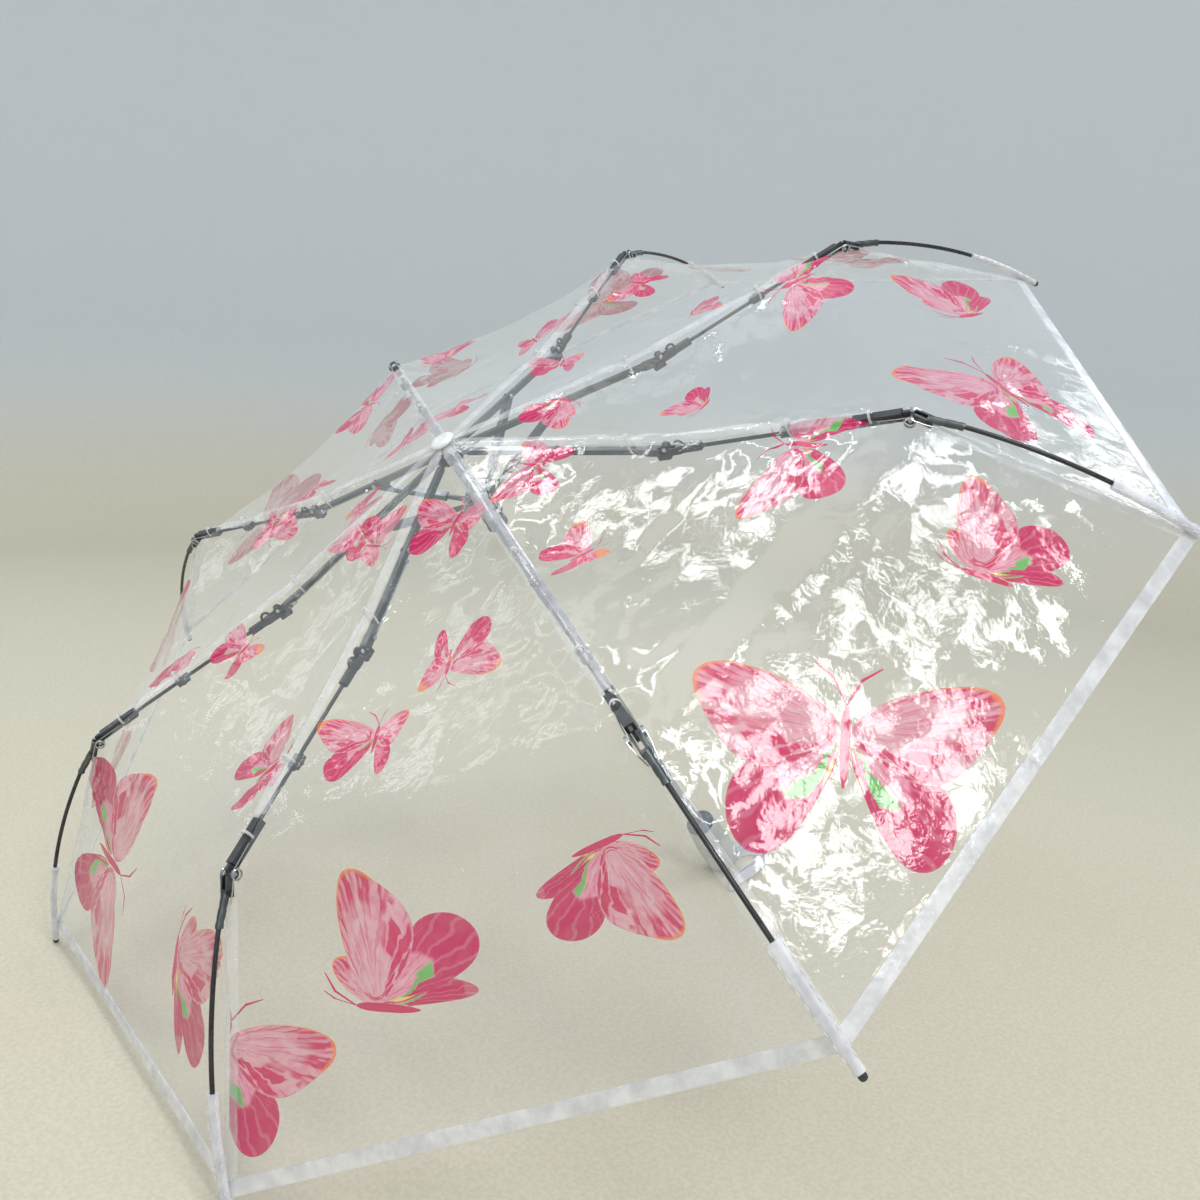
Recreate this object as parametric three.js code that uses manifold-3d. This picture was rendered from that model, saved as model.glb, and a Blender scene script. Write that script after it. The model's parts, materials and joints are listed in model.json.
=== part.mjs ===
// A compact three-fold umbrella with a clear film canopy, open and lying on two rib tips and its handle.
//
// Lengths are in millimetres. The umbrella is modelled upright: its shaft runs along Z, the top of the cap
// is at z = 0, and r is the distance from the shaft. The last lines tilt it and set it down on the floor,
// z = 0, with the centre of its bounding box over the origin. The cap then leans towards -Y.
import * as THREE from 'three';
import { mergeVertices } from 'three/addons/utils/BufferGeometryUtils.js';
import Module from 'manifold-3d';

const wasm = await Module();
wasm.setup();

// ---- driving dimensions -------------------------------------------------------------------------------

const RIBS = 8;
const FIRST_RIB_ANGLE = 157.5; // degrees round the shaft; each next rib is 45 degrees clockwise of the last

// The linkage of one rib in its own plane, as [r, z] points, lengths and degrees below the horizontal
const CROWN_PIVOT = [10, -14];
const RUNNER_PIVOT = [11, -60];
const TOP_RIB = { length: 170, drop: 10.8 };
const MIDDLE_RIB = { length: 170, drop: 1.3 };
const OUTER_RIB = { length: 197, drop: 41.7, bow: 12 };
const BOW_STEPS = 5;
const BENT_FROM = 3; // how far before the rod's end its sleeve takes up the rod's slope
const STRETCHER_JOINT = 83.5; // along the top rib
const ELBOW_RISE = 3; // the elbow's pivot lies this far over both rods, so that they fold flat together
const KNEE_FALL = 3.2; // the knee's pivot lies this far under both rods

// Rib sections
// The top rib's folded steel
const CHANNEL = { width: 4.4, height: 4.4, wall: 0.7, start: 7, openStart: 11, tongue: 12, hidden: 3 };
const STRADDLE = { width: 6, height: 5, wall: 0.5 }; // the stretcher's, which closes round the top rib
const STRETCHER_NECK = 20; // its inner end stays this narrow for as long as it passes through the runner
const NECK_OVERLAP = { hollow: 4, tongue: 3 }; // how far the hollow starts and the tongue ends past the neck
const STRETCHER_JAW = 14; // and its outer end is open over this length, where it closes over the top rib
const HOUSING = { length: 15, gap: 4, width: 5.8, low: -3.2, high: 2.5 }; // on the top rib, at the elbow
const ROD_RADIUS = 1.5;
const TONGUE = { thickness: 1.6, halfHeight: 2, eye: 2.2 }; // a rib's end where it enters crown or runner
// The tongue at an elbow or a knee
const PLATE = { thickness: 2.2, eye: 3, overlap: 6, low: -2.4, high: 3.2, kneeHigh: 2.4 };
const FORK = { inner: 3, outer: 6.4, boss: 3.2, arm: 12, mouth: 8 };
const PIN = { radius: 1, stand: 1 }; // an elbow or knee pin, and how far it stands out in all
const PIN_HOLE = 1.4;
const RING_HOLE = 0.9; // for the wire ring of the crown
const RIVET = { radius: 1.1, length: 7.6, hole: 1.5 };
const SOCKET = { from: 10, to: 27, width: 4.8 }; // the middle rod's sleeve at the elbow
const SLEEVE = 5.2; // height of a rod's sleeve
const ROD_INSET = 20; // the middle rod ends this far from its pivots
const CLIP = { at: 0.53, half: 5, side: 2.3, wide: 4.6 }; // at this share of the middle rib
const KNUCKLE = { length: 36, gap: 4.4, width: 6, half: 3 }; // on the middle rib, at the knee
const OUTER_SLEEVE = { from: 9, rodFrom: 24, overlap: 6, radius: 2.3, lift: 1 };
const WIRE_LINK = { clear: 9, endClear: 13, side: 4.4, half: 0.5, eye: 1.8, line: -1 };
const TIP_BEAD = { radius: 2.2, around: 8, rows: 5 };
const CLEAR = 10; // how far a cutter reaches past what it cuts
const BEVEL = 0.8; // on the edges of moulded pieces
const BITE = 0.5; // how far two joined solids run into each other
const SLOT_EXTRA = 2; // how much longer a slot is than the disc it goes through
const PIN_SIDES = 6; // of a pin, a hole or an eye
const DISC_SIDES = 16; // of a washer or a ring

// Shaft, crown, runner and handle
const TUBES = {
  upper: { outer: 5, inner: 4.4, top: -16, bottom: -215 },
  middle: { outer: 4.1, inner: 3.5, top: -203, bottom: -353 },
  lower: { outer: 3.2, inner: 2.6, top: -341, bottom: -545 },
};
const SLIDING_GAP = 0.3;
const CAP = { radius: 10, edge: 2.2, flat: 6.5, thickness: 3.6, stem: 3, stemEnd: -9.7 };
const WASHER = { inner: 3.4, outer: 8.5, top: -7.6, bottom: -8.8 };
const CROWN = { radius: 12.2, slotFloor: 7.4, top: -10, bottom: -18.5, bore: 5.3, boreTop: -15.7, lid: 6.3 };
const RUNNER = {
  radius: 13.2, slotFloor: 8.4, top: -54, flange: -66, bottom: -88, sleeve: 8.4,
  lip: 0.5, lipHeight: 3, lipSlope: 0.6, overlap: 0.5,
};
const NOTCH = 2.4; // width of a slot that takes a rib's tongue
const RING_WIRE = { radius: 0.5, sides: 5, steps: 24 }; // it strings the rib ends together in the crown
const BUTTON = {
  width: 5, height: 8, inner: 7.9, outer: 9.7, pocketFloor: 6.6, z: -76, play: 0.4, slope: 0.5,
};
const GRIP = {
  top: -495, bottom: -553, radius: 17, neck: 14.6, base: 16.2, bore: 3.5, floor: 1,
  shoulder: 1.2, waist: { in: 0.4, down: 20 }, fullest: 34, foot: { out: 0.5, up: 4 },
};
const COLLAR = {
  top: -488.5, bottom: -494.7, radius: 13.8, bore: 3.5,
  belly: { out: 0.3, up: 3 }, shoulder: { in: 1.4, down: 1 }, crown: 4,
};
const BASE_PLUG = { top: -553.3, bottom: -556, radius: 15.2 };

// Canopy: the line of its ridge over a rib as [r, z], and how it lies between the ribs
const RIDGE = [[14, -6], [177, -33.5], [343, -47], [486.5, -172]];
const RIDGE_ROUND = 24; // how far from the knee the ridge starts to turn
const RIDGE_SAMPLES = 9; // the round is the mean of this many places along the ridge
const RIDGE_STEP = 0.01; // the share of its length over which its slope is taken
const RIB_SLOT = 3.7; // each panel stops this far from the plane of its ribs
const SAG = 13; // how far the film dips inwards half-way between two knees
const FILM = 0.5;
const PANEL_ROWS = 9;
const PANEL_COLUMNS = 3;

// Wrist strap: a loop of ribbon from the base plug that stands on its edge on the floor
const STRAP = {
  width: 12, thickness: 1, halfLoop: 2.5, lift: 0.3, steps: 24,
  route: [[0, 9], [-10, 32], [-6, 50], [10, 50], [24, 22], [34, -12], [42, -32]], // from under the plug
};

// ---- materials ----------------------------------------------------------------------------------------

const paint = (color, roughness, metalness) =>
  new THREE.MeshStandardMaterial({ color, roughness, metalness });
const steel = paint(0x4b5254, 0.38, 0.9);
const wire = paint(0x8a9092, 0.3, 1);
const blackPlastic = paint(0x15171a, 0.5, 0);
const fibreglass = paint(0x0d0e10, 0.35, 0);
const tube = paint(0x6c7275, 0.3, 1);
const whitePlastic = paint(0xeef0ee, 0.35, 0);
const gripPlastic = paint(0xc9c9c2, 0.45, 0);
const collarPlastic = paint(0x2b3237, 0.45, 0);
const ribbon = paint(0xdcdae8, 0.8, 0);
const film = new THREE.MeshStandardMaterial({
  color: 0xe8eef0, roughness: 0.12, metalness: 0, transparent: true, opacity: 0.25,
});

// ---- solids -------------------------------------------------------------------------------------------

const toRadians = THREE.MathUtils.degToRad;

function toSolid(geometry) {
  const bare = geometry.clone();
  for (const name of Object.keys(bare.attributes)) {
    if (name !== 'position') bare.deleteAttribute(name);
  }
  const merged = mergeVertices(bare, 1e-4);
  return new wasm.Manifold(new wasm.Mesh({
    numProp: 3,
    vertProperties: Float32Array.from(merged.attributes.position.array),
    triVerts: Uint32Array.from(merged.index.array),
  }));
}

function toGeometry(solid) {
  const data = solid.getMesh();
  const geometry = new THREE.BufferGeometry();
  geometry.setAttribute('position', new THREE.BufferAttribute(data.vertProperties, 3));
  geometry.setIndex(new THREE.BufferAttribute(data.triVerts, 1));
  geometry.computeVertexNormals();
  return geometry;
}

const join = (first, ...others) => others.reduce((sum, other) => sum.add(other), first);
const cut = (first, ...others) => others.reduce((rest, other) => rest.subtract(other), first);

function box([x0, x1], [y0, y1], [z0, z1]) {
  const geometry = new THREE.BoxGeometry(x1 - x0, y1 - y0, z1 - z0);
  geometry.translate((x0 + x1) / 2, (y0 + y1) / 2, (z0 + z1) / 2);
  return toSolid(geometry);
}

// A round bar along Y, across a rib's plane: a pin, a boss or the cutter for its hole
function across([x, z], radius, [y0, y1], sides = 8) {
  const geometry = new THREE.CylinderGeometry(radius, radius, y1 - y0, sides);
  geometry.translate(x, (y0 + y1) / 2, z);
  return toSolid(geometry);
}

const centred = (width) => [-width / 2, width / 2];

// A bar of round section through points [x, z] of a rib's plane
function rodAlong(points, radius, sides = 6) {
  const path = new THREE.CurvePath();
  const places = points.map(([x, z]) => new THREE.Vector3(x, 0, z));
  if (places.length === 2) path.add(new THREE.LineCurve3(places[0], places[1]));
  else path.add(new THREE.CatmullRomCurve3(places));
  const outline = new THREE.Shape();
  for (let k = 0; k < sides; k += 1) {
    const turn = (2 * Math.PI * k) / sides;
    const corner = [radius * Math.cos(turn), radius * Math.sin(turn)];
    if (k === 0) outline.moveTo(...corner);
    else outline.lineTo(...corner);
  }
  outline.closePath();
  const steps = places.length === 2 ? 1 : places.length - 1;
  return toSolid(new THREE.ExtrudeGeometry(outline, { steps, extrudePath: path, bevelEnabled: false }));
}

// A turned piece: its profile is a list of [radius, z] that closes on itself or on the axis
function turned(profile, sides = 24) {
  const points = profile.map(([radius, z]) => new THREE.Vector2(radius, z));
  const geometry = new THREE.LatheGeometry(points, sides);
  geometry.rotateX(Math.PI / 2);
  let solid = toSolid(geometry);
  if (solid.volume() < 0) {
    const index = geometry.index.array;
    for (let k = 0; k < index.length; k += 3) [index[k], index[k + 1]] = [index[k + 1], index[k]];
    solid = toSolid(geometry);
  }
  return solid;
}

const ringOf = (inner, outer, low, high) =>
  [[inner, low], [outer, low], [outer, high], [inner, high], [inner, low]];

function meshOf(name, solid, material) {
  const mesh = new THREE.Mesh(solid.isBufferGeometry ? solid : toGeometry(solid), material);
  mesh.name = name;
  return mesh;
}

// ---- places in a rib's plane --------------------------------------------------------------------------

// The point that lies `along` and `above` from `start` on a line that drops by `drop` degrees
function pointFrom([r, z], drop, along, above) {
  const angle = toRadians(drop);
  return [
    r + along * Math.cos(angle) + above * Math.sin(angle),
    z - along * Math.sin(angle) + above * Math.cos(angle),
  ];
}

const ELBOW = pointFrom(CROWN_PIVOT, TOP_RIB.drop, TOP_RIB.length, ELBOW_RISE);
const KNEE = pointFrom(ELBOW, MIDDLE_RIB.drop, MIDDLE_RIB.length, -ELBOW_RISE - KNEE_FALL);
const TIP = pointFrom(KNEE, OUTER_RIB.drop, OUTER_RIB.length, KNEE_FALL);
const STRETCHER_PIN = pointFrom(CROWN_PIVOT, TOP_RIB.drop, STRETCHER_JOINT, 0);
const STRETCHER = {
  length: Math.hypot(STRETCHER_PIN[0] - RUNNER_PIVOT[0], STRETCHER_PIN[1] - RUNNER_PIVOT[1]),
  drop: THREE.MathUtils.radToDeg(
    Math.atan2(STRETCHER_PIN[1] - RUNNER_PIVOT[1], STRETCHER_PIN[0] - RUNNER_PIVOT[0]),
  ),
};

// Each piece of a rib is drawn with its inner pivot at the origin, X outwards along it and Z over it.

// The narrow flat end of a rib, round its pivot at the origin
const tongue = (reach) => join(
  box([0, reach], centred(TONGUE.thickness), centred(2 * TONGUE.halfHeight)),
  across([0, 0], TONGUE.eye, centred(TONGUE.thickness)),
);

// The flat plate that a fork closes round: it starts on the rod and ends in an eye at [x, z]
const plate = ([x, z], low, high) => join(
  box([x - PLATE.overlap, x + BITE], centred(PLATE.thickness), [low, high]),
  across([x, z], PLATE.eye, centred(PLATE.thickness)),
);

// The fork at the inner end of the middle and outer ribs, with its pin; its arm lies round the rod's line
function fork(line) {
  const arm = [line - SLEEVE / 2, line + SLEEVE / 2];
  const cheeks = join(
    across([0, 0], FORK.boss, centred(FORK.outer)),
    box([0, FORK.arm], centred(FORK.outer), arm),
  );
  const mouth = box([-CLEAR, FORK.mouth], centred(FORK.inner), centred(2 * CLEAR));
  return join(cut(cheeks, mouth), across([0, 0], PIN.radius, centred(FORK.outer + PIN.stand), PIN_SIDES));
}

function topRib() {
  const end = TOP_RIB.length;
  const { width, height, wall, start, openStart, hidden } = CHANNEL;
  const { length, gap, low, high } = HOUSING;
  const body = cut(
    box([start, end - gap], centred(width), centred(height)),
    box([openStart, end - length + hidden], centred(width - 2 * wall), [-CLEAR, height / 2 - wall]),
  );
  const rivet = across([STRETCHER_JOINT, 0], RIVET.radius, centred(RIVET.length), PIN_SIDES);
  const housing = box([end - length, end - gap], centred(HOUSING.width), [low, high]);
  return cut(
    join(body, tongue(CHANNEL.tongue), rivet, housing, plate([end, ELBOW_RISE], PLATE.low, PLATE.high)),
    across([0, 0], RING_HOLE, centred(CLEAR), PIN_SIDES),
    across([end, ELBOW_RISE], PIN_HOLE, centred(CLEAR), PIN_SIDES),
  );
}

function stretcher() {
  const end = STRETCHER.length;
  const { width, height, wall } = STRADDLE;
  const inside = width - 2 * wall;
  const beyond = end + CLEAR;
  const roof = height / 2 - wall;
  const cheeks = cut(
    join(
      box([STRETCHER_NECK, end], centred(width), centred(height)),
      across([end, 0], PLATE.eye, centred(width)),
    ),
    box([STRETCHER_NECK + NECK_OVERLAP.hollow, beyond], centred(inside), [-CLEAR, roof]),
    box([end - STRETCHER_JAW, beyond], centred(inside), centred(2 * CLEAR)),
    across([end, 0], RIVET.hole, centred(CLEAR), PIN_SIDES),
  );
  return join(cheeks, tongue(STRETCHER_NECK + NECK_OVERLAP.tongue));
}

function middleRib() {
  const end = MIDDLE_RIB.length;
  const line = -ELBOW_RISE;
  const socketHalf = SOCKET.width / 2;
  const around = (half) => [line - half, line + half];
  const socket = box([SOCKET.from, SOCKET.to], centred(SOCKET.width), around(socketHalf));
  const rod = rodAlong([[ROD_INSET, line], [end - ROD_INSET, line]], ROD_RADIUS);
  const clipAt = CLIP.at * end;
  const clip = box(
    [clipAt - CLIP.half, clipAt + CLIP.half],
    [-CLIP.side, CLIP.wide],
    around(CLIP.side),
  );
  const knuckle = join(
    box([end - KNUCKLE.length, end - KNUCKLE.gap], centred(KNUCKLE.width), around(KNUCKLE.half)),
    plate([end, line - KNEE_FALL], line - KNEE_FALL, line + PLATE.kneeHigh),
  );
  return cut(
    join(fork(line), socket, rod, clip, knuckle),
    across([end, line - KNEE_FALL], PIN_HOLE, centred(CLEAR), PIN_SIDES),
  );
}

function outerRib() {
  const end = OUTER_RIB.length;
  const { from, rodFrom, overlap, radius, lift } = OUTER_SLEEVE;
  const line = KNEE_FALL;
  const lean = (4 * OUTER_RIB.bow) / end; // slope of the bowed rod at its two ends
  const bowed = (x) => line + 4 * OUTER_RIB.bow * (x / end) * (1 - x / end);
  const sleeveEnd = [rodFrom + overlap, line + lift + lean * (rodFrom - BENT_FROM)];
  const sleeve = rodAlong([[from, line + lift], sleeveEnd], radius, PIN_SIDES);
  const places = [];
  for (let k = 0; k <= BOW_STEPS; k += 1) {
    const x = rodFrom + ((end - rodFrom) * k) / BOW_STEPS;
    places.push([x, bowed(x)]);
  }
  const bead = new THREE.SphereGeometry(TIP_BEAD.radius, TIP_BEAD.around, TIP_BEAD.rows);
  bead.translate(end, 0, line);
  return join(fork(line), sleeve, rodAlong(places, ROD_RADIUS), toSolid(bead));
}

function linkWire() {
  const { clear, endClear, side, half, eye, line } = WIRE_LINK;
  const start = STRETCHER_JOINT + clear;
  const end = TOP_RIB.length - endClear;
  const thick = [side - half, side + half];
  const eyeAt = (x) => across([x, line], eye, thick, PIN_SIDES);
  return join(box([start, end], thick, [line - half, line + half]), eyeAt(start), eyeAt(end));
}

// ---- crown, runner, shaft and handle ------------------------------------------------------------------

// A wheel of teeth round the shaft, with a slot for each rib
function notched(radius, slotFloor, bottom, top, bore) {
  let wheel = turned(ringOf(bore, radius, bottom, top));
  for (let k = 1; k <= RIBS; k += 1) {
    const slot = new THREE.BoxGeometry(radius, NOTCH, top - bottom + SLOT_EXTRA);
    slot.translate(slotFloor + radius / 2, 0, (top + bottom) / 2);
    slot.rotateZ(toRadians(ribAngle(k)));
    wheel = wheel.subtract(toSolid(slot));
  }
  return wheel;
}

function ribAngle(number) {
  return FIRST_RIB_ANGLE - (360 / RIBS) * (number - 1);
}

function crown() {
  const { radius, slotFloor, top, bottom, bore, boreTop, lid } = CROWN;
  const ring = new THREE.TorusGeometry(CROWN_PIVOT[0], RING_WIRE.radius, RING_WIRE.sides, RING_WIRE.steps);
  ring.translate(0, 0, CROWN_PIVOT[1]);
  return join(
    notched(radius, slotFloor, bottom, top, bore),
    turned([[0, boreTop], [lid, boreTop], [lid, top], [0, top]]),
    toSolid(ring),
  );
}

function cap() {
  const { radius, edge, flat, thickness, stem, stemEnd } = CAP;
  return turned([
    [0, stemEnd], [stem, stemEnd], [stem, -thickness], [radius - BEVEL, -thickness],
    [radius, -thickness + BEVEL], [radius, -edge + BEVEL], [flat, 0], [0, 0],
  ]);
}

function runner() {
  const { radius, slotFloor, top, flange, bottom, sleeve, lip, lipHeight, lipSlope, overlap } = RUNNER;
  const bore = TUBES.upper.outer + SLIDING_GAP;
  const tooth = notched(radius, slotFloor, flange, top, bore);
  const barrel = turned([
    [bore, bottom], [sleeve + lip, bottom], [sleeve + lip, bottom + lipHeight],
    [sleeve, bottom + lipHeight + lipSlope], [sleeve, flange + overlap], [bore, flange + overlap],
    [bore, bottom],
  ]);
  const { width, height, pocketFloor, play, z } = BUTTON;
  const pocket = box(
    centred(width + 2 * play),
    [pocketFloor, radius + CLEAR],
    [z - height / 2 - play, z + height / 2 + play],
  );
  return cut(join(tooth, barrel), pocket);
}

function runnerButton() {
  const { width, height, inner, outer, z, slope } = BUTTON;
  const body = box(centred(width), [inner, outer], [z - height / 2, z + height / 2]);
  const above = z + height / 2;
  const chamfer = box([-width, width], [outer - slope, outer + CLEAR], [above - BEVEL, above + CLEAR]);
  return cut(body, chamfer);
}

function tubeSection({ outer, inner, top, bottom }) {
  return turned(ringOf(inner, outer, bottom, top), DISC_SIDES);
}

function grip() {
  const { top, bottom, radius, neck, base, bore, floor, shoulder, waist, fullest, foot } = GRIP;
  const depth = TUBES.lower.bottom - floor;
  return turned([
    [0, depth], [bore, depth], [bore, top], [neck - BEVEL, top], [neck, top - shoulder],
    [radius - waist.in, top - waist.down], [radius, top - fullest], [base + foot.out, bottom + foot.up],
    [base, bottom], [0, bottom],
  ]);
}

function collar() {
  const { top, bottom, radius, bore, belly, shoulder } = COLLAR;
  return turned([
    [bore, bottom], [radius, bottom], [radius + belly.out, bottom + belly.up],
    [radius - shoulder.in, top - shoulder.down], [radius - COLLAR.crown, top], [bore, top], [bore, bottom],
  ]);
}

function basePlug() {
  const { top, bottom, radius } = BASE_PLUG;
  return turned([[0, bottom], [radius - BEVEL, bottom], [radius, bottom + BEVEL], [radius, top], [0, top]]);
}

// ---- canopy -------------------------------------------------------------------------------------------

// The ridge of the canopy at a share 0 to 1 of its length, rounded where it turns over the knee
function ridgePoint(share) {
  const places = RIDGE.map(([r, z]) => new THREE.Vector2(r, z));
  const lengths = places.slice(1).map((place, k) => place.distanceTo(places[k]));
  const total = lengths.reduce((sum, length) => sum + length, 0);
  const along = (distance) => {
    let left = Math.min(Math.max(distance, 0), total);
    let k = 0;
    while (k < lengths.length - 1 && left > lengths[k]) {
      left -= lengths[k];
      k += 1;
    }
    return places[k].clone().lerp(places[k + 1], left / lengths[k]);
  };
  const room = Math.min(share * total, (1 - share) * total, RIDGE_ROUND);
  const sum = new THREE.Vector2();
  for (let k = 0; k < RIDGE_SAMPLES; k += 1) {
    sum.add(along(share * total + room * ((2 * k) / (RIDGE_SAMPLES - 1) - 1)));
  }
  return sum.divideScalar(RIDGE_SAMPLES);
}

// One panel, drawn with the middle of the panel along X
function panel() {
  const half = Math.PI / RIBS;
  const place = (row, column, lower) => {
    const share = row / (PANEL_ROWS - 1);
    const ridge = ridgePoint(share);
    const next = ridgePoint(Math.min(share + RIDGE_STEP, 1));
    const last = ridgePoint(Math.max(share - RIDGE_STEP, 0));
    const slope = Math.atan2(next.y - last.y, next.x - last.x);
    const u = (2 * column) / PANEL_COLUMNS - 1;
    const chord = ridge.x * Math.sin(half) - RIB_SLOT / Math.cos(half);
    const dip = SAG * Math.sin(Math.PI * share) ** 2 * (1 - u * u) + (lower ? FILM : 0);
    return [ridge.x * Math.cos(half) + dip * Math.sin(slope), u * chord, ridge.y - dip * Math.cos(slope)];
  };
  const positions = [];
  const indices = [];
  const columns = PANEL_COLUMNS + 1;
  for (const lower of [false, true]) {
    for (let row = 0; row < PANEL_ROWS; row += 1) {
      for (let column = 0; column < columns; column += 1) positions.push(...place(row, column, lower));
    }
  }
  const at = (row, column, lower) => (lower ? PANEL_ROWS * columns : 0) + row * columns + column;
  const quad = (a, b, c, d) => indices.push(a, b, c, a, c, d);
  for (let row = 0; row < PANEL_ROWS - 1; row += 1) {
    for (let column = 0; column < PANEL_COLUMNS; column += 1) {
      const corners = [[row, column], [row + 1, column], [row + 1, column + 1], [row, column + 1]];
      const [a, b, c, d] = corners.map(([r, k]) => at(r, k, false));
      quad(a, b, c, d);
      const [e, f, g, h] = corners.map(([r, k]) => at(r, k, true));
      quad(e, h, g, f); // the same diagonal as above, so that the two faces stay apart
    }
    quad(at(row, 0, false), at(row, 0, true), at(row + 1, 0, true), at(row + 1, 0, false));
    const edge = PANEL_COLUMNS;
    quad(at(row + 1, edge, false), at(row + 1, edge, true), at(row, edge, true), at(row, edge, false));
  }
  const rim = PANEL_ROWS - 1;
  for (let column = 0; column < PANEL_COLUMNS; column += 1) {
    quad(at(0, column + 1, false), at(0, column + 1, true), at(0, column, true), at(0, column, false));
    const next = column + 1;
    quad(at(rim, column, false), at(rim, column, true), at(rim, next, true), at(rim, next, false));
  }
  const geometry = new THREE.BufferGeometry();
  geometry.setAttribute('position', new THREE.Float32BufferAttribute(positions, 3));
  geometry.setIndex(indices);
  geometry.computeVertexNormals();
  return geometry;
}

// ---- the upright umbrella -----------------------------------------------------------------------------

const upright = new THREE.Group();
const add = (name, solid, material) => upright.add(meshOf(name, solid, material));

add('top_cap', cap(), whitePlastic);
const washerRing = ringOf(WASHER.inner, WASHER.outer, WASHER.bottom, WASHER.top);
add('cap_washer', turned(washerRing, DISC_SIDES), whitePlastic);
add('crown', crown(), blackPlastic);
add('shaft_upper', tubeSection(TUBES.upper), tube);
add('shaft_middle', tubeSection(TUBES.middle), tube);
add('shaft_lower', tubeSection(TUBES.lower), tube);
add('runner', runner(), blackPlastic);
add('runner_button', runnerButton(), collarPlastic);
add('handle_collar', collar(), collarPlastic);
add('handle_grip', grip(), gripPlastic);
add('handle_base', basePlug(), gripPlastic);

const ribPieces = [
  { name: 'top_rib', solid: topRib(), at: CROWN_PIVOT, drop: TOP_RIB.drop, material: steel },
  { name: 'link_wire', solid: linkWire(), at: CROWN_PIVOT, drop: TOP_RIB.drop, material: wire },
  { name: 'stretcher', solid: stretcher(), at: RUNNER_PIVOT, drop: -STRETCHER.drop, material: steel },
  { name: 'middle_rib', solid: middleRib(), at: ELBOW, drop: MIDDLE_RIB.drop, material: fibreglass },
  { name: 'outer_rib', solid: outerRib(), at: KNEE, drop: OUTER_RIB.drop, material: fibreglass },
];
for (const piece of ribPieces) piece.geometry = toGeometry(piece.solid);
const panelGeometry = panel();

for (let number = 1; number <= RIBS; number += 1) {
  const rib = new THREE.Group();
  rib.rotation.z = toRadians(ribAngle(number));
  for (const { name, geometry, at, drop, material } of ribPieces) {
    const mesh = meshOf(`${name}_${number}`, geometry, material);
    mesh.position.set(at[0], 0, at[1]);
    mesh.rotation.y = toRadians(drop);
    rib.add(mesh);
  }
  upright.add(rib);
  const side = new THREE.Group();
  side.rotation.z = toRadians(ribAngle(number) - 180 / RIBS);
  side.add(meshOf(`canopy_panel_${number}`, panelGeometry, film));
  upright.add(side);
}

// ---- set down on the floor ----------------------------------------------------------------------------

// The two ribs either side of -Y and the rim of the base plug stay on the floor. Both lie in the plane of
// the lean, so the tilt is the angle that brings the bead and the rim to one height.
const beadReach = TIP[0] * Math.cos(Math.PI / RIBS);
const rimReach = BASE_PLUG.radius - BEVEL;
const run = beadReach - rimReach;
const rise = TIP[1] - BASE_PLUG.bottom;
const tilt = Math.atan2(rise, run) - Math.asin(TIP_BEAD.radius / Math.hypot(rise, run));

const umbrella = new THREE.Group();
const leaning = new THREE.Group();
leaning.rotation.x = tilt;
leaning.add(upright);
umbrella.add(leaning);

// The ribbon runs out along its route and back beside itself, a loop of two strands on their edges.
function strap() {
  const { width, thickness, halfLoop, steps } = STRAP;
  const route = new THREE.SplineCurve(STRAP.route.map(([x, y]) => new THREE.Vector2(x, y)));
  const stations = [...Array(steps + 1).keys()].map((k) => {
    const ahead = route.getTangentAt(k / steps);
    return { at: route.getPointAt(k / steps), ahead, left: new THREE.Vector2(-ahead.y, ahead.x) };
  });
  const loop = (reach) => {
    const beside = (side) => stations.map(({ at, left }) => at.clone().addScaledVector(left, side * reach));
    const [first, last] = [stations[0], stations[steps]];
    return [
      ...beside(1),
      last.at.clone().addScaledVector(last.ahead, reach),
      ...beside(-1).reverse(),
      first.at.clone().addScaledVector(first.ahead, -reach),
    ];
  };
  const outer = loop(halfLoop + thickness / 2);
  const inner = loop(halfLoop - thickness / 2);
  const positions = outer.flatMap((far, k) => [
    far.x, far.y, 0, far.x, far.y, width, inner[k].x, inner[k].y, width, inner[k].x, inner[k].y, 0,
  ]);
  const corners = 4;
  const indices = outer.flatMap((_, k) => [...Array(corners).keys()].flatMap((corner) => {
    const ahead = (k + 1) % outer.length;
    const following = (corner + 1) % corners;
    const [a, b] = [k * corners + corner, k * corners + following];
    const [c, d] = [ahead * corners + following, ahead * corners + corner];
    return [a, b, c, a, c, d];
  }));
  const geometry = new THREE.BufferGeometry();
  geometry.setAttribute('position', new THREE.Float32BufferAttribute(positions, 3));
  geometry.setIndex(indices);
  return toSolid(geometry);
}
const strapMesh = meshOf('wrist_strap', strap(), ribbon);
umbrella.add(strapMesh);

umbrella.updateMatrixWorld(true);
const plugMiddle = new THREE.Vector3(0, 0, BASE_PLUG.bottom).applyMatrix4(leaning.matrixWorld);
const lean = new THREE.Box3().setFromObject(leaning, true);
strapMesh.position.set(plugMiddle.x, plugMiddle.y, lean.min.z + STRAP.lift);

umbrella.updateMatrixWorld(true);
const whole = new THREE.Box3().setFromObject(umbrella, true);
const middle = whole.getCenter(new THREE.Vector3());
umbrella.position.set(-middle.x, -middle.y, -whole.min.z);
umbrella.updateMatrixWorld(true);

export default umbrella;
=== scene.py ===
"""The looks of a compact three-fold umbrella with a clear printed film canopy, open and lying on a floor.

The CAD model is the fixed frame and everything here rides on its bodies. Lengths are in millimetres in the
umbrella's own frame: the shaft runs along Z, the top of the cap is at z = 0 and r is the distance from the
shaft. UMBRELLA turns that into the row frame, in metres.
"""

import json
from math import atan2, cos, exp, hypot, pi, radians, sin, tan

import bmesh
import bpy
import numpy as np
from mathutils import Matrix, Vector, noise
from mathutils.geometry import delaunay_2d_cdt


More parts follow.
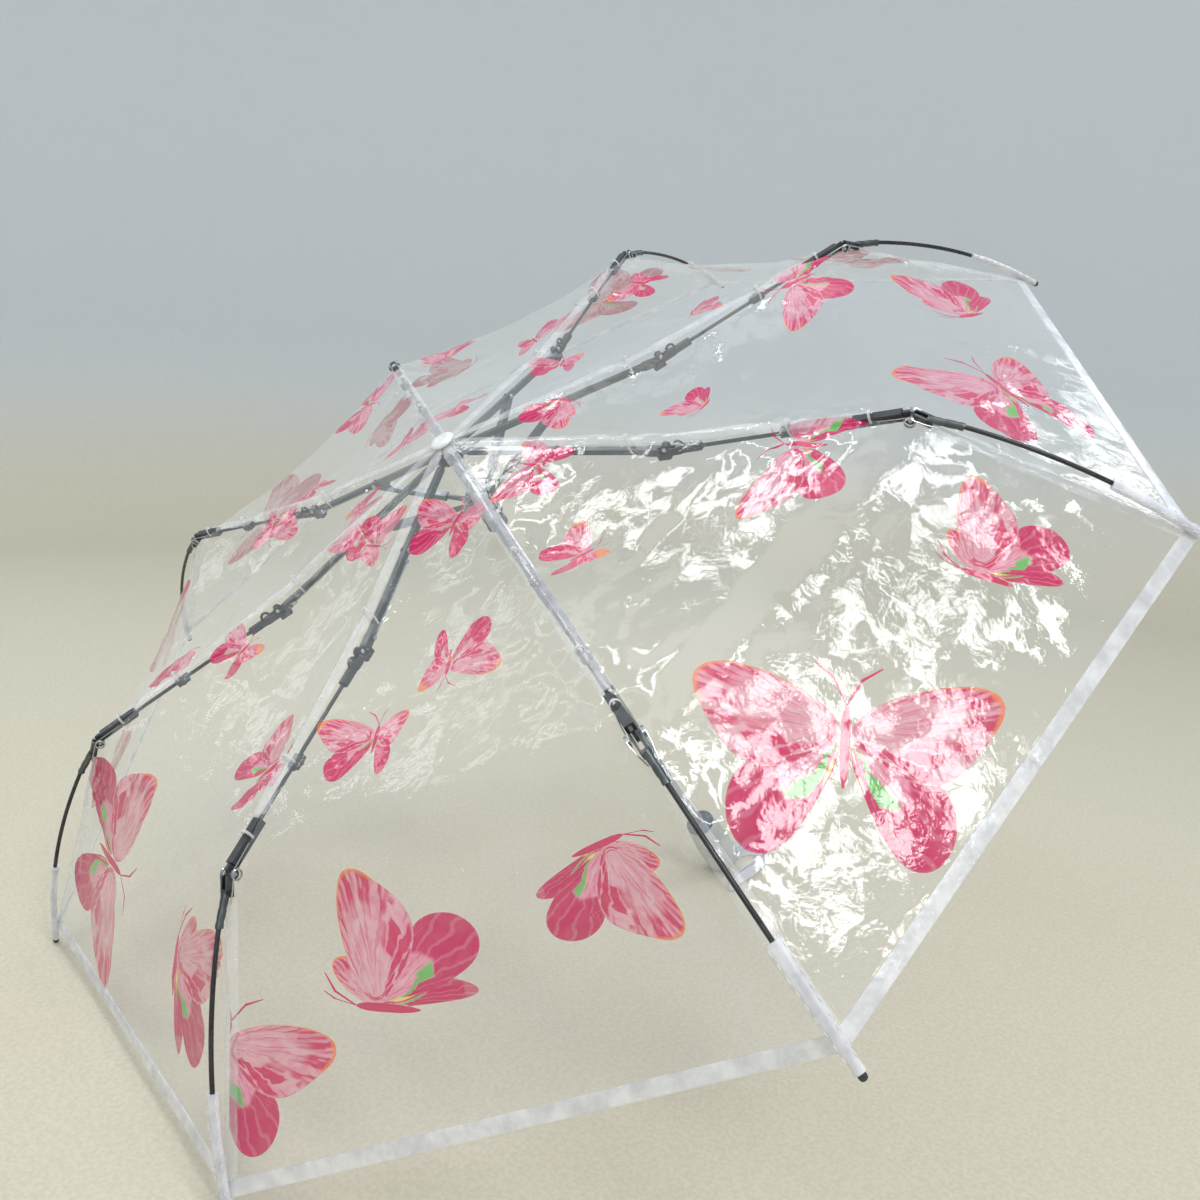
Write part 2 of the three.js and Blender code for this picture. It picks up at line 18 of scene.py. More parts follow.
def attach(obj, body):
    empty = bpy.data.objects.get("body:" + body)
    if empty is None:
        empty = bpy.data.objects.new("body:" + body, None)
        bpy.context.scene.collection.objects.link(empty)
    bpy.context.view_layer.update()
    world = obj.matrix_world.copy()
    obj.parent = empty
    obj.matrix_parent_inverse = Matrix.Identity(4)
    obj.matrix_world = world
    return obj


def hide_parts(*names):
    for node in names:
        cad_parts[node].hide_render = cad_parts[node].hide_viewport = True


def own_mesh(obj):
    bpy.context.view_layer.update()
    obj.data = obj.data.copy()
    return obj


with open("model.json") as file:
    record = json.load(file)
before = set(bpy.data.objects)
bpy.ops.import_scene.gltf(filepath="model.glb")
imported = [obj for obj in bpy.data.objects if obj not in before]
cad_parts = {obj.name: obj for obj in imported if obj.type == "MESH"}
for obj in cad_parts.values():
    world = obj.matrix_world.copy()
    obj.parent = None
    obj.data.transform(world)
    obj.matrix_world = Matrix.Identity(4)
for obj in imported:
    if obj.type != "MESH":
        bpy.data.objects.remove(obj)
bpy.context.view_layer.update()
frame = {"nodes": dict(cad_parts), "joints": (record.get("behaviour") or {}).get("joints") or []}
NODES = frame["nodes"]
JOINTS = {joint["name"]: joint for joint in frame["joints"]}

MM = 0.001
SAME_PLACE = 1e-7  # metres: points nearer than this are one
RIBS = range(1, 9)
FIRST_RIB_ANGLE = 157.5
STEP_ANGLE = 45.0
HALF_STEP = radians(STEP_ANGLE / 2)
CROWN_PIVOT = (10.0, -14.0)
BODY_OF_SECTION = ("top_rib", "middle_rib", "outer_rib")

# The canopy: its ridge line over a rib as (r, z), from under the cap to the tip
RIDGE = ((4.5, -4.6), (14.0, -6.0), (177.0, -33.5), (343.0, -47.0), (486.5, -172.0))
RIDGE_ROUND = 24.0
SAG = 13.0
GRID = 9.0  # size of the film's mesh
EDGE_SLIVER = 0.1  # a triangle whose middle is nearer an edge than this lies outside it
SHARE_OF_JOINT = (14.0, 24.0)  # how far the film past the elbow and the knee still follows the rod before it
# The seam is open before and after the knee, which comes through it
SLIT = {"before": 34.0, "after": 24.0, "half": 3.8, "taper": 12}

# ---- frames ----


def umbrella_frame():
    """The matrix from the umbrella's frame in millimetres to the row frame, from the joints."""
    up = -Vector(JOINTS["runner_slide"]["axis"]).normalized()
    pins = [Vector(JOINTS[f"top_rib_hinge_{k}"]["pos_m"]) for k in RIBS]
    crown = sum(pins, Vector()) / len(pins)
    side = Vector((1, 0, 0))
    turn = Matrix((side, up.cross(side), up)).transposed().to_4x4()
    return Matrix.Translation(crown - up * CROWN_PIVOT[1] * MM) @ turn @ Matrix.Scale(MM, 4)


UMBRELLA = umbrella_frame()


def rib_angle(number):
    return radians(FIRST_RIB_ANGLE - STEP_ANGLE * (number - 1))


def rib_frame(number):
    """X runs out along the rib, Y across it and Z along the shaft."""
    return UMBRELLA @ Matrix.Rotation(rib_angle(number), 4, "Z")


def panel_frame(number):
    """Panel 1 lies between ribs 1 and 2. X runs out along its middle and +Y towards the rib of its number."""
    return UMBRELLA @ Matrix.Rotation(rib_angle(number) - HALF_STEP, 4, "Z")


def link_frame(number, start, drop):
    """X runs along a link that starts at (r, z) and drops by so many degrees; Z points over it."""
    place = Matrix.Translation((start[0], 0, start[1]))
    return rib_frame(number) @ place @ Matrix.Rotation(radians(drop), 4, "Y")


# ---- meshes ----


def strips(rows, wide, closed=True, ring=False):
    """Faces between rows of points. closed joins a row's two ends, and ring the last row to the first."""
    faces = []
    for k in range(rows if ring else rows - 1):
        step = ((k + 1) % rows - k) * wide
        for n in range(wide if closed else wide - 1):
            a, b = k * wide + n, k * wide + (n + 1) % wide
            faces.append([a, b, b + step, a + step])
    return faces


class Shape:
    """Vertices, faces and a material number for each face, gathered piece by piece."""

    def __init__(self):
        self.points, self.faces, self.marks = [], [], []

    def add(self, points, faces, mark=0, matrix=None):
        base = len(self.points)
        self.points += [matrix @ Vector(p) if matrix else Vector(p) for p in points]
        self.faces += [[base + k for k in face] for face in faces]
        self.marks += [mark] * len(faces)
        return self

    def tube(self, path, sizes, sides=16, mark=0, side=(0, 1, 0)):
        """A bar along path. sizes are (half width along side, half height) at each point of the path."""
        side, points, count = Vector(side).normalized(), [], len(path)
        path = [Vector(p) for p in path]
        for k, (at, (wide, high)) in enumerate(zip(path, sizes)):
            ahead = path[min(k + 1, count - 1)] - path[max(k - 1, 0)]
            over = ahead.normalized().cross(side).normalized()
            for n in range(sides):
                turn = 2 * pi * n / sides
                points.append(at + side * wide * cos(turn) + over * high * sin(turn))
        caps = [list(range(sides))[::-1], [(count - 1) * sides + n for n in range(sides)]]
        return self.add(points, strips(count, sides) + caps, mark)

    def turned(self, profile, sides=48, mark=0, matrix=None):
        """A turned solid from (radius, z) points. It is closed where its ends lie on the axis."""
        turns = [2 * pi * n / sides for n in range(sides)]
        points = [(radius * cos(turn), radius * sin(turn), z) for radius, z in profile for turn in turns]
        return self.add(points, strips(len(profile), sides), mark, matrix)

    def across(self, x, z, radius, low, high, mark=0, sides=24, edge=0.3):
        """A round bar along Y with softened edges."""
        profile = [(0, low), (radius - edge, low), (radius, low + edge)]
        profile += [(radius, high - edge), (radius - edge, high), (0, high)]
        turn = Matrix.Translation((x, 0, z)) @ Matrix.Rotation(-pi / 2, 4, "X")
        return self.turned(profile, sides, mark, turn)

    def block(self, spans, mark=0, edge=0.4, matrix=None):
        """A box with rounded edges between the three (low, high) spans."""
        work = bmesh.new()
        bmesh.ops.create_cube(work, size=1)
        for vert in work.verts:
            vert.co = Vector([low + (c + 0.5) * (high - low) for c, (low, high) in zip(vert.co, spans)])
        bmesh.ops.bevel(work, geom=work.edges[:], offset=edge, segments=2, affect="EDGES", profile=0.5)
        points = [v.co.copy() for v in work.verts]
        faces = [[v.index for v in face.verts] for face in work.faces]
        work.free()
        return self.add(points, faces, mark, matrix)

    def make(self, name, matrix, materials, angle=40):
        mesh = bpy.data.meshes.new(name)
        mesh.from_pydata([matrix @ p for p in self.points], [], self.faces)
        for material in materials:
            mesh.materials.append(material)
        mesh.polygons.foreach_set("material_index", self.marks)
        work = bmesh.new()
        work.from_mesh(mesh)
        bmesh.ops.remove_doubles(work, verts=work.verts, dist=SAME_PLACE)
        bmesh.ops.recalc_face_normals(work, faces=work.faces)
        work.to_mesh(mesh)
        work.free()
        mesh.shade_smooth()
        mesh.set_sharp_from_angle(angle=radians(angle))
        return link_object(name, mesh)


def link_object(name, data):
    made = bpy.data.objects.new(name, data)
    bpy.context.scene.collection.objects.link(made)
    return made


def fit_out(piece, body, node=None):
    """The piece rides on a body, and stands for a node of the CAD if one is named."""
    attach(piece, body)
    if node:
        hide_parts(node)
    return piece


# ---- materials ----


def feed(tree, socket, value):
    """A node's output is linked to the socket, and anything else is set on it."""
    if isinstance(value, bpy.types.NodeSocket):
        tree.links.new(value, socket)
    else:
        socket.default_value = value


class Paint:
    """A Principled material and short ways to add nodes to it."""

    def __init__(self, name, **sockets):
        self.material = bpy.data.materials.new(name)
        self.material.use_nodes = True
        self.tree = self.material.node_tree
        self.shader = self.tree.nodes["Principled BSDF"]
        for socket, value in sockets.items():
            self.put(socket.replace("_", " "), value)

    def put(self, socket, value):
        feed(self.tree, self.shader.inputs[socket], value)

    def node(self, kind, inputs=None, **settings):
        made = self.tree.nodes.new(kind)
        for key, value in settings.items():
            setattr(made, key, value)
        for key, value in (inputs or {}).items():
            feed(self.tree, made.inputs[key], value)
        return made

    def math(self, operation, a, b=0.0):
        return self.node("ShaderNodeMath", {0: a, 1: b}, operation=operation).outputs[0]

    def times(self, a, b):
        return self.math("MULTIPLY", a, b)

    def plus(self, a, b):
        return self.math("ADD", a, b)

    def vector(self, operation, *values):
        made = self.node("ShaderNodeVectorMath", dict(enumerate(values)), operation=operation)
        return made.outputs["Value" if operation == "DOT_PRODUCT" else 0]

    def joined(self, *values):
        return self.node("ShaderNodeCombineXYZ", dict(enumerate(values))).outputs[0]

    def ease(self, value, low, high, start=0.0, end=1.0):
        """value from low to high becomes start to end, smoothly."""
        inputs = {"Value": value, "From Min": low, "From Max": high, "To Min": start, "To Max": end}
        made = self.node("ShaderNodeMapRange", inputs, interpolation_type="SMOOTHSTEP")
        return made.outputs["Result"]

    def within(self, value, low, high, soft):
        """1 between low and high, 0 outside, with soft edges."""
        rise = self.ease(value, low - soft, low + soft)
        fall = self.ease(value, high - soft, high + soft, 1.0, 0.0)
        return self.times(rise, fall)

    def mix(self, share, a, b):
        made = self.node("ShaderNodeMix", data_type="RGBA")
        for key, value in (("Factor", share), ("A", a), ("B", b)):
            feed(self.tree, next(s for s in made.inputs if s.name == key and s.enabled), value)
        return next(s for s in made.outputs if s.enabled)

    def place(self, scale=(1, 1, 1)):
        source = self.node("ShaderNodeTexCoord").outputs["Object"]
        return self.node("ShaderNodeMapping", {"Vector": source, "Scale": scale}).outputs[0]

    def noise(self, scale, detail=2.0, vector=None, rough=0.5):
        inputs = {"Scale": scale, "Detail": detail, "Roughness": rough}
        inputs["Vector"] = vector if vector is not None else self.place()
        return self.node("ShaderNodeTexNoise", inputs).outputs["Fac"]

    def bump(self, height, distance, strength=1.0):
        inputs = {"Height": height, "Distance": distance, "Strength": strength}
        self.put("Normal", self.node("ShaderNodeBump", inputs).outputs["Normal"])
        return self

    def vary(self, base, other, scale, low=0.35, high=0.65, detail=3.0):
        """The base colour drifts between two colours."""
        self.put("Base Color", self.mix(self.ease(self.noise(scale, detail), low, high), base, other))
        return self


def rgb(red, green, blue):
    return (red, green, blue, 1.0)


def moulded(name, base, other, roughness, grain=900.0, depth=0.00006):
    """Moulded plastic: a fine spark-eroded grain, patches of polish and a slow change of shade."""
    paint = Paint(name, Specular_IOR_Level=0.5)
    paint.vary(base, other, 60.0)
    worn = paint.noise(140.0, 4.0)
    paint.put("Roughness", paint.ease(worn, 0.3, 0.7, roughness - 0.09, roughness + 0.1))
    return paint.bump(paint.noise(grain, 2.0), depth, 0.6).material


def drawn_metal(name, base, other, roughness, stretch=(60, 60, 60), scale=12.0):
    """Steel with drawing marks and a few duller stains."""
    paint = Paint(name, Metallic=1.0)
    marks = paint.noise(scale, 4.0, paint.place(stretch))
    stains = paint.noise(45.0, 3.0)
    paint.put("Base Color", paint.mix(paint.ease(stains, 0.4, 0.7), base, other))
    uneven = paint.plus(paint.times(marks, 0.16), roughness - 0.08)
    paint.put("Roughness", uneven)
    return paint.bump(marks, 0.00003, 0.5).material


def crinkles(paint, scale, tilt):
    """Height of film that has been folded small: flat facets, each tilted its own way, at one size."""
    place, middle = paint.place(), (0.5, 0.5, 0.5)
    warp = paint.node("ShaderNodeTexNoise", {"Vector": place, "Scale": scale * 0.8, "Detail": 3.0})
    centred = paint.vector("SUBTRACT", warp.outputs["Color"], middle)
    moved = paint.vector("MULTIPLY_ADD", centred, (0.9 / scale,) * 3, place)
    cells = paint.node("ShaderNodeTexVoronoi", {"Vector": moved, "Scale": scale})
    lean = paint.vector("SUBTRACT", cells.outputs["Color"], middle)
    away = paint.vector("SUBTRACT", moved, cells.outputs["Position"])
    return paint.times(paint.vector("DOT_PRODUCT", lean, away), tilt)


def film_surface(name, **sockets):
    """Clear film: nearly all of what is behind it shows, more so face on than at a glancing angle."""
    paint = Paint(name, Roughness=0.035, **sockets)
    large = crinkles(paint, 19.0, 0.11)
    small = crinkles(paint, 75.0, 0.065)
    fine = paint.times(paint.noise(260.0, 3.0), 0.00025)
    height = paint.plus(paint.plus(large, small), fine)
    paint.bump(height, 1.0, 1.0)
    facing = paint.node("ShaderNodeLayerWeight", {"Blend": 0.35}).outputs["Facing"]
    haze = paint.ease(paint.noise(9.0, 4.0), 0.35, 0.75, 0.0, 0.05)
    edge = paint.times(paint.math("POWER", facing, 2.5), 0.40)
    return paint, paint.plus(paint.plus(edge, haze), 0.09)


def clear_film():
    """The gloss counts only as far as the film is solid, so a high index makes up for its low alpha."""
    paint, solid = film_surface("clear_film", IOR=2.6, Specular_IOR_Level=0.8)
    paint.put("Base Color", rgb(0.86, 0.90, 0.93))
    paint.put("Alpha", solid)
    return paint.material


PINK = rgb(0.74, 0.24, 0.36)
PALE = rgb(0.80, 0.42, 0.50)
MAGENTA = rgb(0.56, 0.012, 0.11)
CRIMSON = rgb(0.60, 0.022, 0.115)
GREEN = rgb(0.16, 0.46, 0.12)
YELLOW = rgb(0.74, 0.66, 0.18)
ORANGE = rgb(0.85, 0.22, 0.06)
FORE, HIND, BODY_MARK, FEELER = 1.0, 2.0, 3.0, 4.0
WING_CELLS = 12.0  # spaces between the veins of a wing


def printed_film():
    """The print is drawn from each wing's own coordinates: rho from its root to its edge, turn from its
    front edge to its back edge, and which part of the insect it is."""
    paint, solid = film_surface("printed_film", IOR=1.5)
    times, plus, within = paint.times, paint.plus, paint.within
    source = paint.node("ShaderNodeAttribute", attribute_name="wing").outputs["Vector"]
    split = paint.node("ShaderNodeSeparateXYZ", {0: source})
    rho, turn, part = split.outputs[:3]

    def brushed(across, along):
        """Noise drawn out along the veins."""
        return paint.noise(1.0, 2.0, paint.joined(times(turn, across), times(rho, along), part))

    streak = brushed(34.0, 3.0)
    blot = brushed(9.0, 7.0)
    wander = times(brushed(3.0, 5.0), 1.1)
    cells = plus(times(turn, WING_CELLS), wander)
    within_cell = paint.math("ABSOLUTE", paint.math("SUBTRACT", paint.math("FRACT", cells), 0.5))
    veins = paint.ease(within_cell, 0.33, 0.45)
    own = paint.joined(times(paint.math("FLOOR", cells), 3.7), times(rho, 4.0), part)
    patch = paint.ease(paint.noise(1.0, 1.0, own), 0.42, 0.48)
    ground = paint.mix(paint.ease(blot, 0.3, 0.7), PALE, PINK)
    ground = paint.mix(paint.ease(streak, 0.52, 0.62, 0.0, 0.55), ground, CRIMSON)
    # forewing: blots between the veins of its back half, and strokes at its tip
    back = times(within(turn, 0.50, 0.88, 0.05), within(rho, 0.40, 0.97, 0.05))
    blotted = times(back, patch)
    tip = times(within(turn, 0.12, 0.52, 0.04), paint.ease(rho, 0.66, 0.82))
    tipped = times(tip, paint.ease(streak, 0.38, 0.54, 0.25, 1.0))
    dark = paint.math("MAXIMUM", blotted, tipped)
    fore = paint.mix(times(dark, paint.ease(veins, 0.0, 1.0, 1.0, 0.25)), ground, CRIMSON)
    rim = times(paint.ease(rho, 0.955, 0.99), within(turn, 0.04, 0.46, 0.03))
    fore = paint.mix(times(rim, 0.85), fore, ORANGE)
    # hindwing: a magenta lobe, a green patch before it and a yellow inner margin
    hind = paint.mix(paint.ease(rho, 0.52, 0.58), ground, MAGENTA)
    hind = paint.mix(times(veins, 0.22), hind, PALE)
    green = times(within(rho, 0.36, 0.54, 0.02), within(turn, 0.50, 0.80, 0.03))
    hind = paint.mix(green, hind, GREEN)
    yellow = times(within(rho, 0.34, 0.86, 0.04), within(turn, 0.80, 0.90, 0.02))
    hind = paint.mix(yellow, hind, YELLOW)
    colour = paint.mix(paint.ease(part, 1.45, 1.55), fore, hind)
    colour = paint.mix(paint.ease(part, 2.45, 2.55), colour, CRIMSON)
    paint.put("Base Color", colour)
    # the ink is thicker in the dark marks and fades a little at a wing's edge
    ink = plus(times(blot, 0.25), 0.58)
    strong = paint.math("MAXIMUM", dark, paint.ease(part, 1.45, 1.55))
    ink = plus(ink, times(strong, 0.18))
    ink = times(ink, paint.ease(rho, 0.985, 1.0, 1.0, 0.8))
    paint.put("Alpha", paint.math("MINIMUM", paint.math("MAXIMUM", ink, solid), 0.93))
    return paint.material


def milky(name, colour, solid, roughness, streaks):
    """Tape and binding: clouded plastic with pressed lines across it."""
    paint = Paint(name, Roughness=roughness, IOR=1.6)
    cloud = paint.noise(70.0, 4.0)
    paint.put("Base Color", paint.mix(paint.ease(cloud, 0.3, 0.7), colour, rgb(0.93, 0.93, 0.97)))
    facing = paint.node("ShaderNodeLayerWeight", {"Blend": 0.4}).outputs["Facing"]
    part = paint.plus(paint.times(cloud, 0.3), solid - 0.15)
    paint.put("Alpha", paint.math("MINIMUM", paint.plus(part, paint.times(facing, 0.25)), 1.0))
    return paint.bump(paint.noise(streaks, 4.0), 0.0008, 0.8).material


def woven(name, colour, other, pitch):
    """A flat woven ribbon: crossed waves at the pitch of its threads, coloured by their height as painted
    shade.
    """
    paint = Paint(name, Roughness=0.75, Sheen_Weight=0.35)
    height = None
    for direction in ("X", "Y", "Z"):
        wave = paint.node(
            "ShaderNodeTexWave",
            {"Vector": paint.place(), "Scale": pitch, "Distortion": 0.6},
            bands_direction=direction,
        ).outputs["Fac"]
        height = wave if height is None else paint.math("MAXIMUM", height, wave)
    # painted shade: darker in the hollows between the threads, lighter on their crests
    paint.put("Base Color", paint.mix(height, colour, other))
    return paint.bump(height, 0.0002, 0.7).material


CLEAR_FILM = clear_film()
PRINTED_FILM = printed_film()
TAPE = milky("seam_tape", rgb(0.78, 0.80, 0.86), 0.22, 0.10, 90.0)
BINDING = milky("hem_binding", rgb(0.66, 0.68, 0.77), 0.36, 0.25, 130.0)
POCKET = milky("corner_pocket", rgb(0.74, 0.74, 0.82), 0.70, 0.35, 160.0)
GUNMETAL = drawn_metal("gunmetal_steel", rgb(0.10, 0.115, 0.12), rgb(0.17, 0.18, 0.185), 0.34)
WIRE = drawn_metal("link_steel", rgb(0.55, 0.56, 0.57), rgb(0.42, 0.43, 0.44), 0.26)
SHAFT = drawn_metal("shaft_steel", rgb(0.34, 0.36, 0.37), rgb(0.26, 0.28, 0.29), 0.28)
BLACK = moulded("black_plastic", rgb(0.022, 0.025, 0.03), rgb(0.04, 0.043, 0.05), 0.42)
GLASS_ROD = moulded("coated_rod", rgb(0.012, 0.013, 0.015), rgb(0.028, 0.03, 0.033), 0.28, 1400.0)
WHITE = moulded("white_plastic", rgb(0.80, 0.81, 0.80), rgb(0.72, 0.735, 0.73), 0.36)
GRIP = moulded("grip_plastic", rgb(0.50, 0.51, 0.50), rgb(0.43, 0.44, 0.42), 0.46, 700.0)
COLLAR = moulded("collar_plastic", rgb(0.055, 0.075, 0.095), rgb(0.08, 0.10, 0.12), 0.44)
RIBBON = woven("strap_ribbon", rgb(0.70, 0.69, 0.80), rgb(0.82, 0.81, 0.88), 260.0)
THREAD = woven("tie_thread", rgb(0.78, 0.78, 0.80), rgb(0.90, 0.90, 0.90), 900.0)

CAD_PAINT = {
    "top_rib": GUNMETAL, "link_wire": WIRE, "stretcher": GUNMETAL, "middle_rib": BLACK,
    "crown": BLACK, "runner": BLACK, "runner_button": COLLAR, "cap_washer": WHITE,
}
for node_name, node_object in NODES.items():
    for start, material in CAD_PAINT.items():
        if node_name == start or node_name.rpartition("_")[0] == start:
            node_object.data.materials.clear()
            node_object.data.materials.append(material)


# ---- the film's surface ----

RIDGE_POINTS = [Vector(p) for p in RIDGE]
RIDGE_STEPS = [(b - a).length for a, b in zip(RIDGE_POINTS, RIDGE_POINTS[1:])]
STATIONS = [sum(RIDGE_STEPS[:k]) for k in range(len(RIDGE))]
COLLAR_EDGE, ELBOW_AT, KNEE_AT, RIM = STATIONS[1:]


RIDGE_OFFSETS = [k / 4 - 1 for k in range(9)]  # in shares of the round's reach
RIDGE_MARGIN, RIDGE_MARK = 8, 2  # the ridge is kept at 2 marks a millimetre, from 8 mm before its start


def straight_ridge(along):
    """The ridge with sharp corners at a distance from its start; it goes on straight past its ends."""
    k = max((n for n in range(len(RIDGE_STEPS)) if STATIONS[n] <= along), default=0)
    share = (along - STATIONS[k]) / RIDGE_STEPS[k]
    return RIDGE_POINTS[k].lerp(RIDGE_POINTS[k + 1], share)


def rounded_ridge(along):
    room = min(max(min(along, RIM - along), 0.0), RIDGE_ROUND)
    places = [straight_ridge(along + room * offset) for offset in RIDGE_OFFSETS]
    return sum(places, Vector((0, 0))) / len(places)


RIDGE_TABLE = [
    rounded_ridge(k / RIDGE_MARK - RIDGE_MARGIN)[:]
    for k in range(int((RIM + 2 * RIDGE_MARGIN) * RIDGE_MARK))
]


def ridge(along):
    """(r, z) of the ridge, rounded where it turns."""
    mark = (along + RIDGE_MARGIN) * RIDGE_MARK
    k = min(max(int(mark), 0), len(RIDGE_TABLE) - 2)
    share = mark - k
    a, b = RIDGE_TABLE[k], RIDGE_TABLE[k + 1]
    return a[0] + (b[0] - a[0]) * share, a[1] + (b[1] - a[1]) * share


def ease(value):
    value = min(max(value, 0.0), 1.0)
    return value * value * (3 - 2 * value)


def slit(along):
    """How far the film stays from the rib's plane, where the knee comes through the seam."""
    before = ease((along - KNEE_AT + SLIT["before"]) / SLIT["taper"])
    after = ease((KNEE_AT + SLIT["after"] - along) / SLIT["taper"])
    return SLIT["half"] * before * after


def half_width(along):
    return max(float(ridge(along)[0]), 0.5) * sin(HALF_STEP)


TIES = (150.0, 268.0, 322.0, 420.0)  # along the ridge, where the film is pulled to the rib
STORED_FOLDS = ((92.0, 0.20, 1.1), (238.0, -0.12, 1.3), (372.0, 0.08, 1.0), (455.0, -0.05, 0.8))
FOLD_REACH, FOLD_WANDER = 11, 4
SWELL, RIPPLE = 1.5, 0.7
PULL = {"reach": 110, "fan": 1.3, "rays": 15, "near": 18, "fade": 34, "dimple": 1.2, "dimple_size": 13}


def crinkle(number, along, across):
    """How far the film stands out of its smooth form: slow swells, folds it was stored with, and the pull
    of the ties at its ribs."""
    half = half_width(along)
    share = min(abs(across) / half, 1.0)
    inner = 1 - share**3
    place = Vector((along / 62, across / 38, number * 7.3))
    height = SWELL * inner * noise.noise(place)
    height += RIPPLE * inner * noise.noise(place * 2.7 + Vector((5, 1, 2)))
    for fold, lean, depth in STORED_FOLDS:
        wander = FOLD_WANDER * noise.noise(Vector((across / 30, number, fold)))
        off = abs(along - fold - lean * across + wander)
        side = 1 if (number + int(fold)) % 2 else -1
        height += inner * depth * max(0.0, 1 - off / FOLD_REACH) * side
    for tie in TIES:
        away = hypot(along - tie, half - abs(across))
        if away < PULL["reach"]:
            turn = atan2(half - abs(across), along - tie)
            fan = sin(turn * PULL["rays"] + number + tie) * min(away / PULL["near"], 1)
            fan *= exp(-away / PULL["fade"])
            height += PULL["fan"] * fan - PULL["dimple"] * exp(-((away / PULL["dimple_size"]) ** 2))
    rim = ease((RIM - along) / 26)
    hub = ease(along / 60)
    return height * (0.25 + 0.75 * rim) * hub


SLOPE_REACH = 2


def film_point(number, along, across, lift=0.0):
    """A point of the film of a panel in the row frame. across is positive towards the rib of its number."""
    r, z = ridge(along)
    r_next, z_next = ridge(along + SLOPE_REACH)
    r_last, z_last = ridge(along - SLOPE_REACH)
    slope = atan2(z_next - z_last, r_next - r_last)
    half = half_width(along)
    share = min(max((along - COLLAR_EDGE) / (RIM - COLLAR_EDGE), 0.0), 1.0)
    dip = SAG * sin(pi * share) ** 2 * (1 - min(abs(across) / half, 1.0) ** 2)
    dip -= lift + crinkle(number, along, across)
    x = r * cos(HALF_STEP) + dip * sin(slope)
    return PANEL_FRAMES[number] @ Vector((x, across, z - dip * cos(slope)))


PANEL_FRAMES = {k: panel_frame(k) for k in RIBS}
NORMAL_STEP = 1.5


def film_normal(number, along, across):
    step = NORMAL_STEP
    inward = -step if across > 0 else step
    here = film_point(number, along, across)
    run = film_point(number, along + step, across) - here
    side = film_point(number, along, across + inward) - here
    return (run.cross(side) * inward).normalized()


# ---- the print ----

# Outlines of a wing in half-spans: the head points along +Y and the root is near the origin.
FOREWING = (
    (0.04, 0.12), (0.24, 0.28), (0.54, 0.40), (0.84, 0.46), (1.03, 0.42), (1.06, 0.28), (0.94, 0.08),
    (0.80, -0.12), (0.64, -0.24), (0.42, -0.24), (0.18, -0.12), (0.04, -0.02),
)
HINDWING = (
    (0.04, 0.00), (0.20, -0.08), (0.44, -0.18), (0.64, -0.22), (0.74, -0.38), (0.74, -0.60),
    (0.62, -0.78), (0.44, -0.80), (0.28, -0.64), (0.14, -0.38), (0.04, -0.16),
)
ABDOMEN = (
    (0.0, 0.24), (0.03, 0.16), (0.035, 0.0), (0.03, -0.22), (0.0, -0.36), (-0.03, -0.22), (-0.035, 0.0),
    (-0.03, 0.16),
)
FEELERS = ((0.005, 0.22), (0.10, 0.40), (0.23, 0.50), (0.235, 0.515), (0.09, 0.42), (-0.005, 0.23))
ROOTS = {FORE: (0.05, 0.04), HIND: (0.06, -0.03)}

# Each print: along and across its panel, span, heading of the head in degrees (0 points at the rim and 90 at
# the rib of the panel's number), and the widths of its near and far pair of wings; equal signs show it from
# the side.
PRINTS = {
    1: ((100, 10, 72, 60, 1, -0.6), (230, -42, 80, 200, 1, -0.5), (300, 66, 92, 110, -1, -0.4),
        (425, -78, 150, 130, 1, -0.8), (440, 92, 125, 250, -1, -0.4)),
    2: ((150, 26, 70, 40, 1, -0.5), (244, -44, 64, 210, 1, 0.5), (296, 68, 72, 100, 1, -0.5),
        (400, -105, 118, 80, 1, -0.6), (430, 48, 140, 240, -1, -0.45)),
    3: ((96, 22, 80, -20, -1, -0.5), (209, -30, 64, 240, -1, -0.5), (300, 98, 112, 190, 1, -1),
        (442, -43, 165, 121, 1, -0.6), (448, 73, 128, 219, -1, -0.45)),
    4: ((92, 12, 78, 200, 1, -0.6), (196, -36, 66, 70, 1, -0.35), (288, 92, 116, 192, 1, -1),
        (438, -58, 172, 123, 1, -1), (443, 75, 120, 200, -1, -0.4)),
    5: ((90, 12, 84, 150, 1, -0.6), (222, 4, 84, -8, 1, -0.45), (266, -44, 84, 172, 1, -0.45),
        (450, -58, 150, -108, -1, -0.35), (398, 96, 118, 96, -1, -0.4), (446, -166, 138, 145, -1, 1)),
    6: ((98, 6, 74, 100, 1, -0.5), (88, -24, 66, 250, 1, 0.4), (280, 90, 92, 150, 1, -0.5),
        (220, -58, 66, 170, 1, -0.5), (440, 62, 150, 192, -1, -0.35), (430, -82, 176, 82, 1, -1)),
    7: ((90, 14, 70, 20, 1, -0.5), (222, -64, 84, 70, 1, -0.4), (280, 66, 80, 190, -1, -0.5),
        (409, -54, 150, 45, 1, -0.8), (436, 96, 122, 150, 1, -0.5)),
    8: ((100, -12, 72, 120, 1, -0.6), (215, 48, 72, 10, 1, -0.5), (304, -72, 100, 200, 1, -0.9),
        (432, 58, 152, 130, 1, -0.7), (446, -104, 120, 60, -1, -0.4)),
}


def rounded(outline, rounds=2):
    """The outline with its corners cut twice, so that it reads as a curve."""
    points = [Vector(p) for p in outline]
    for _ in range(rounds):
        following = points[1:] + points[:1]
        pairs = zip(points, following)
        points = [p for a, b in pairs for p in (a * 0.75 + b * 0.25, a * 0.25 + b * 0.75)]
    return points


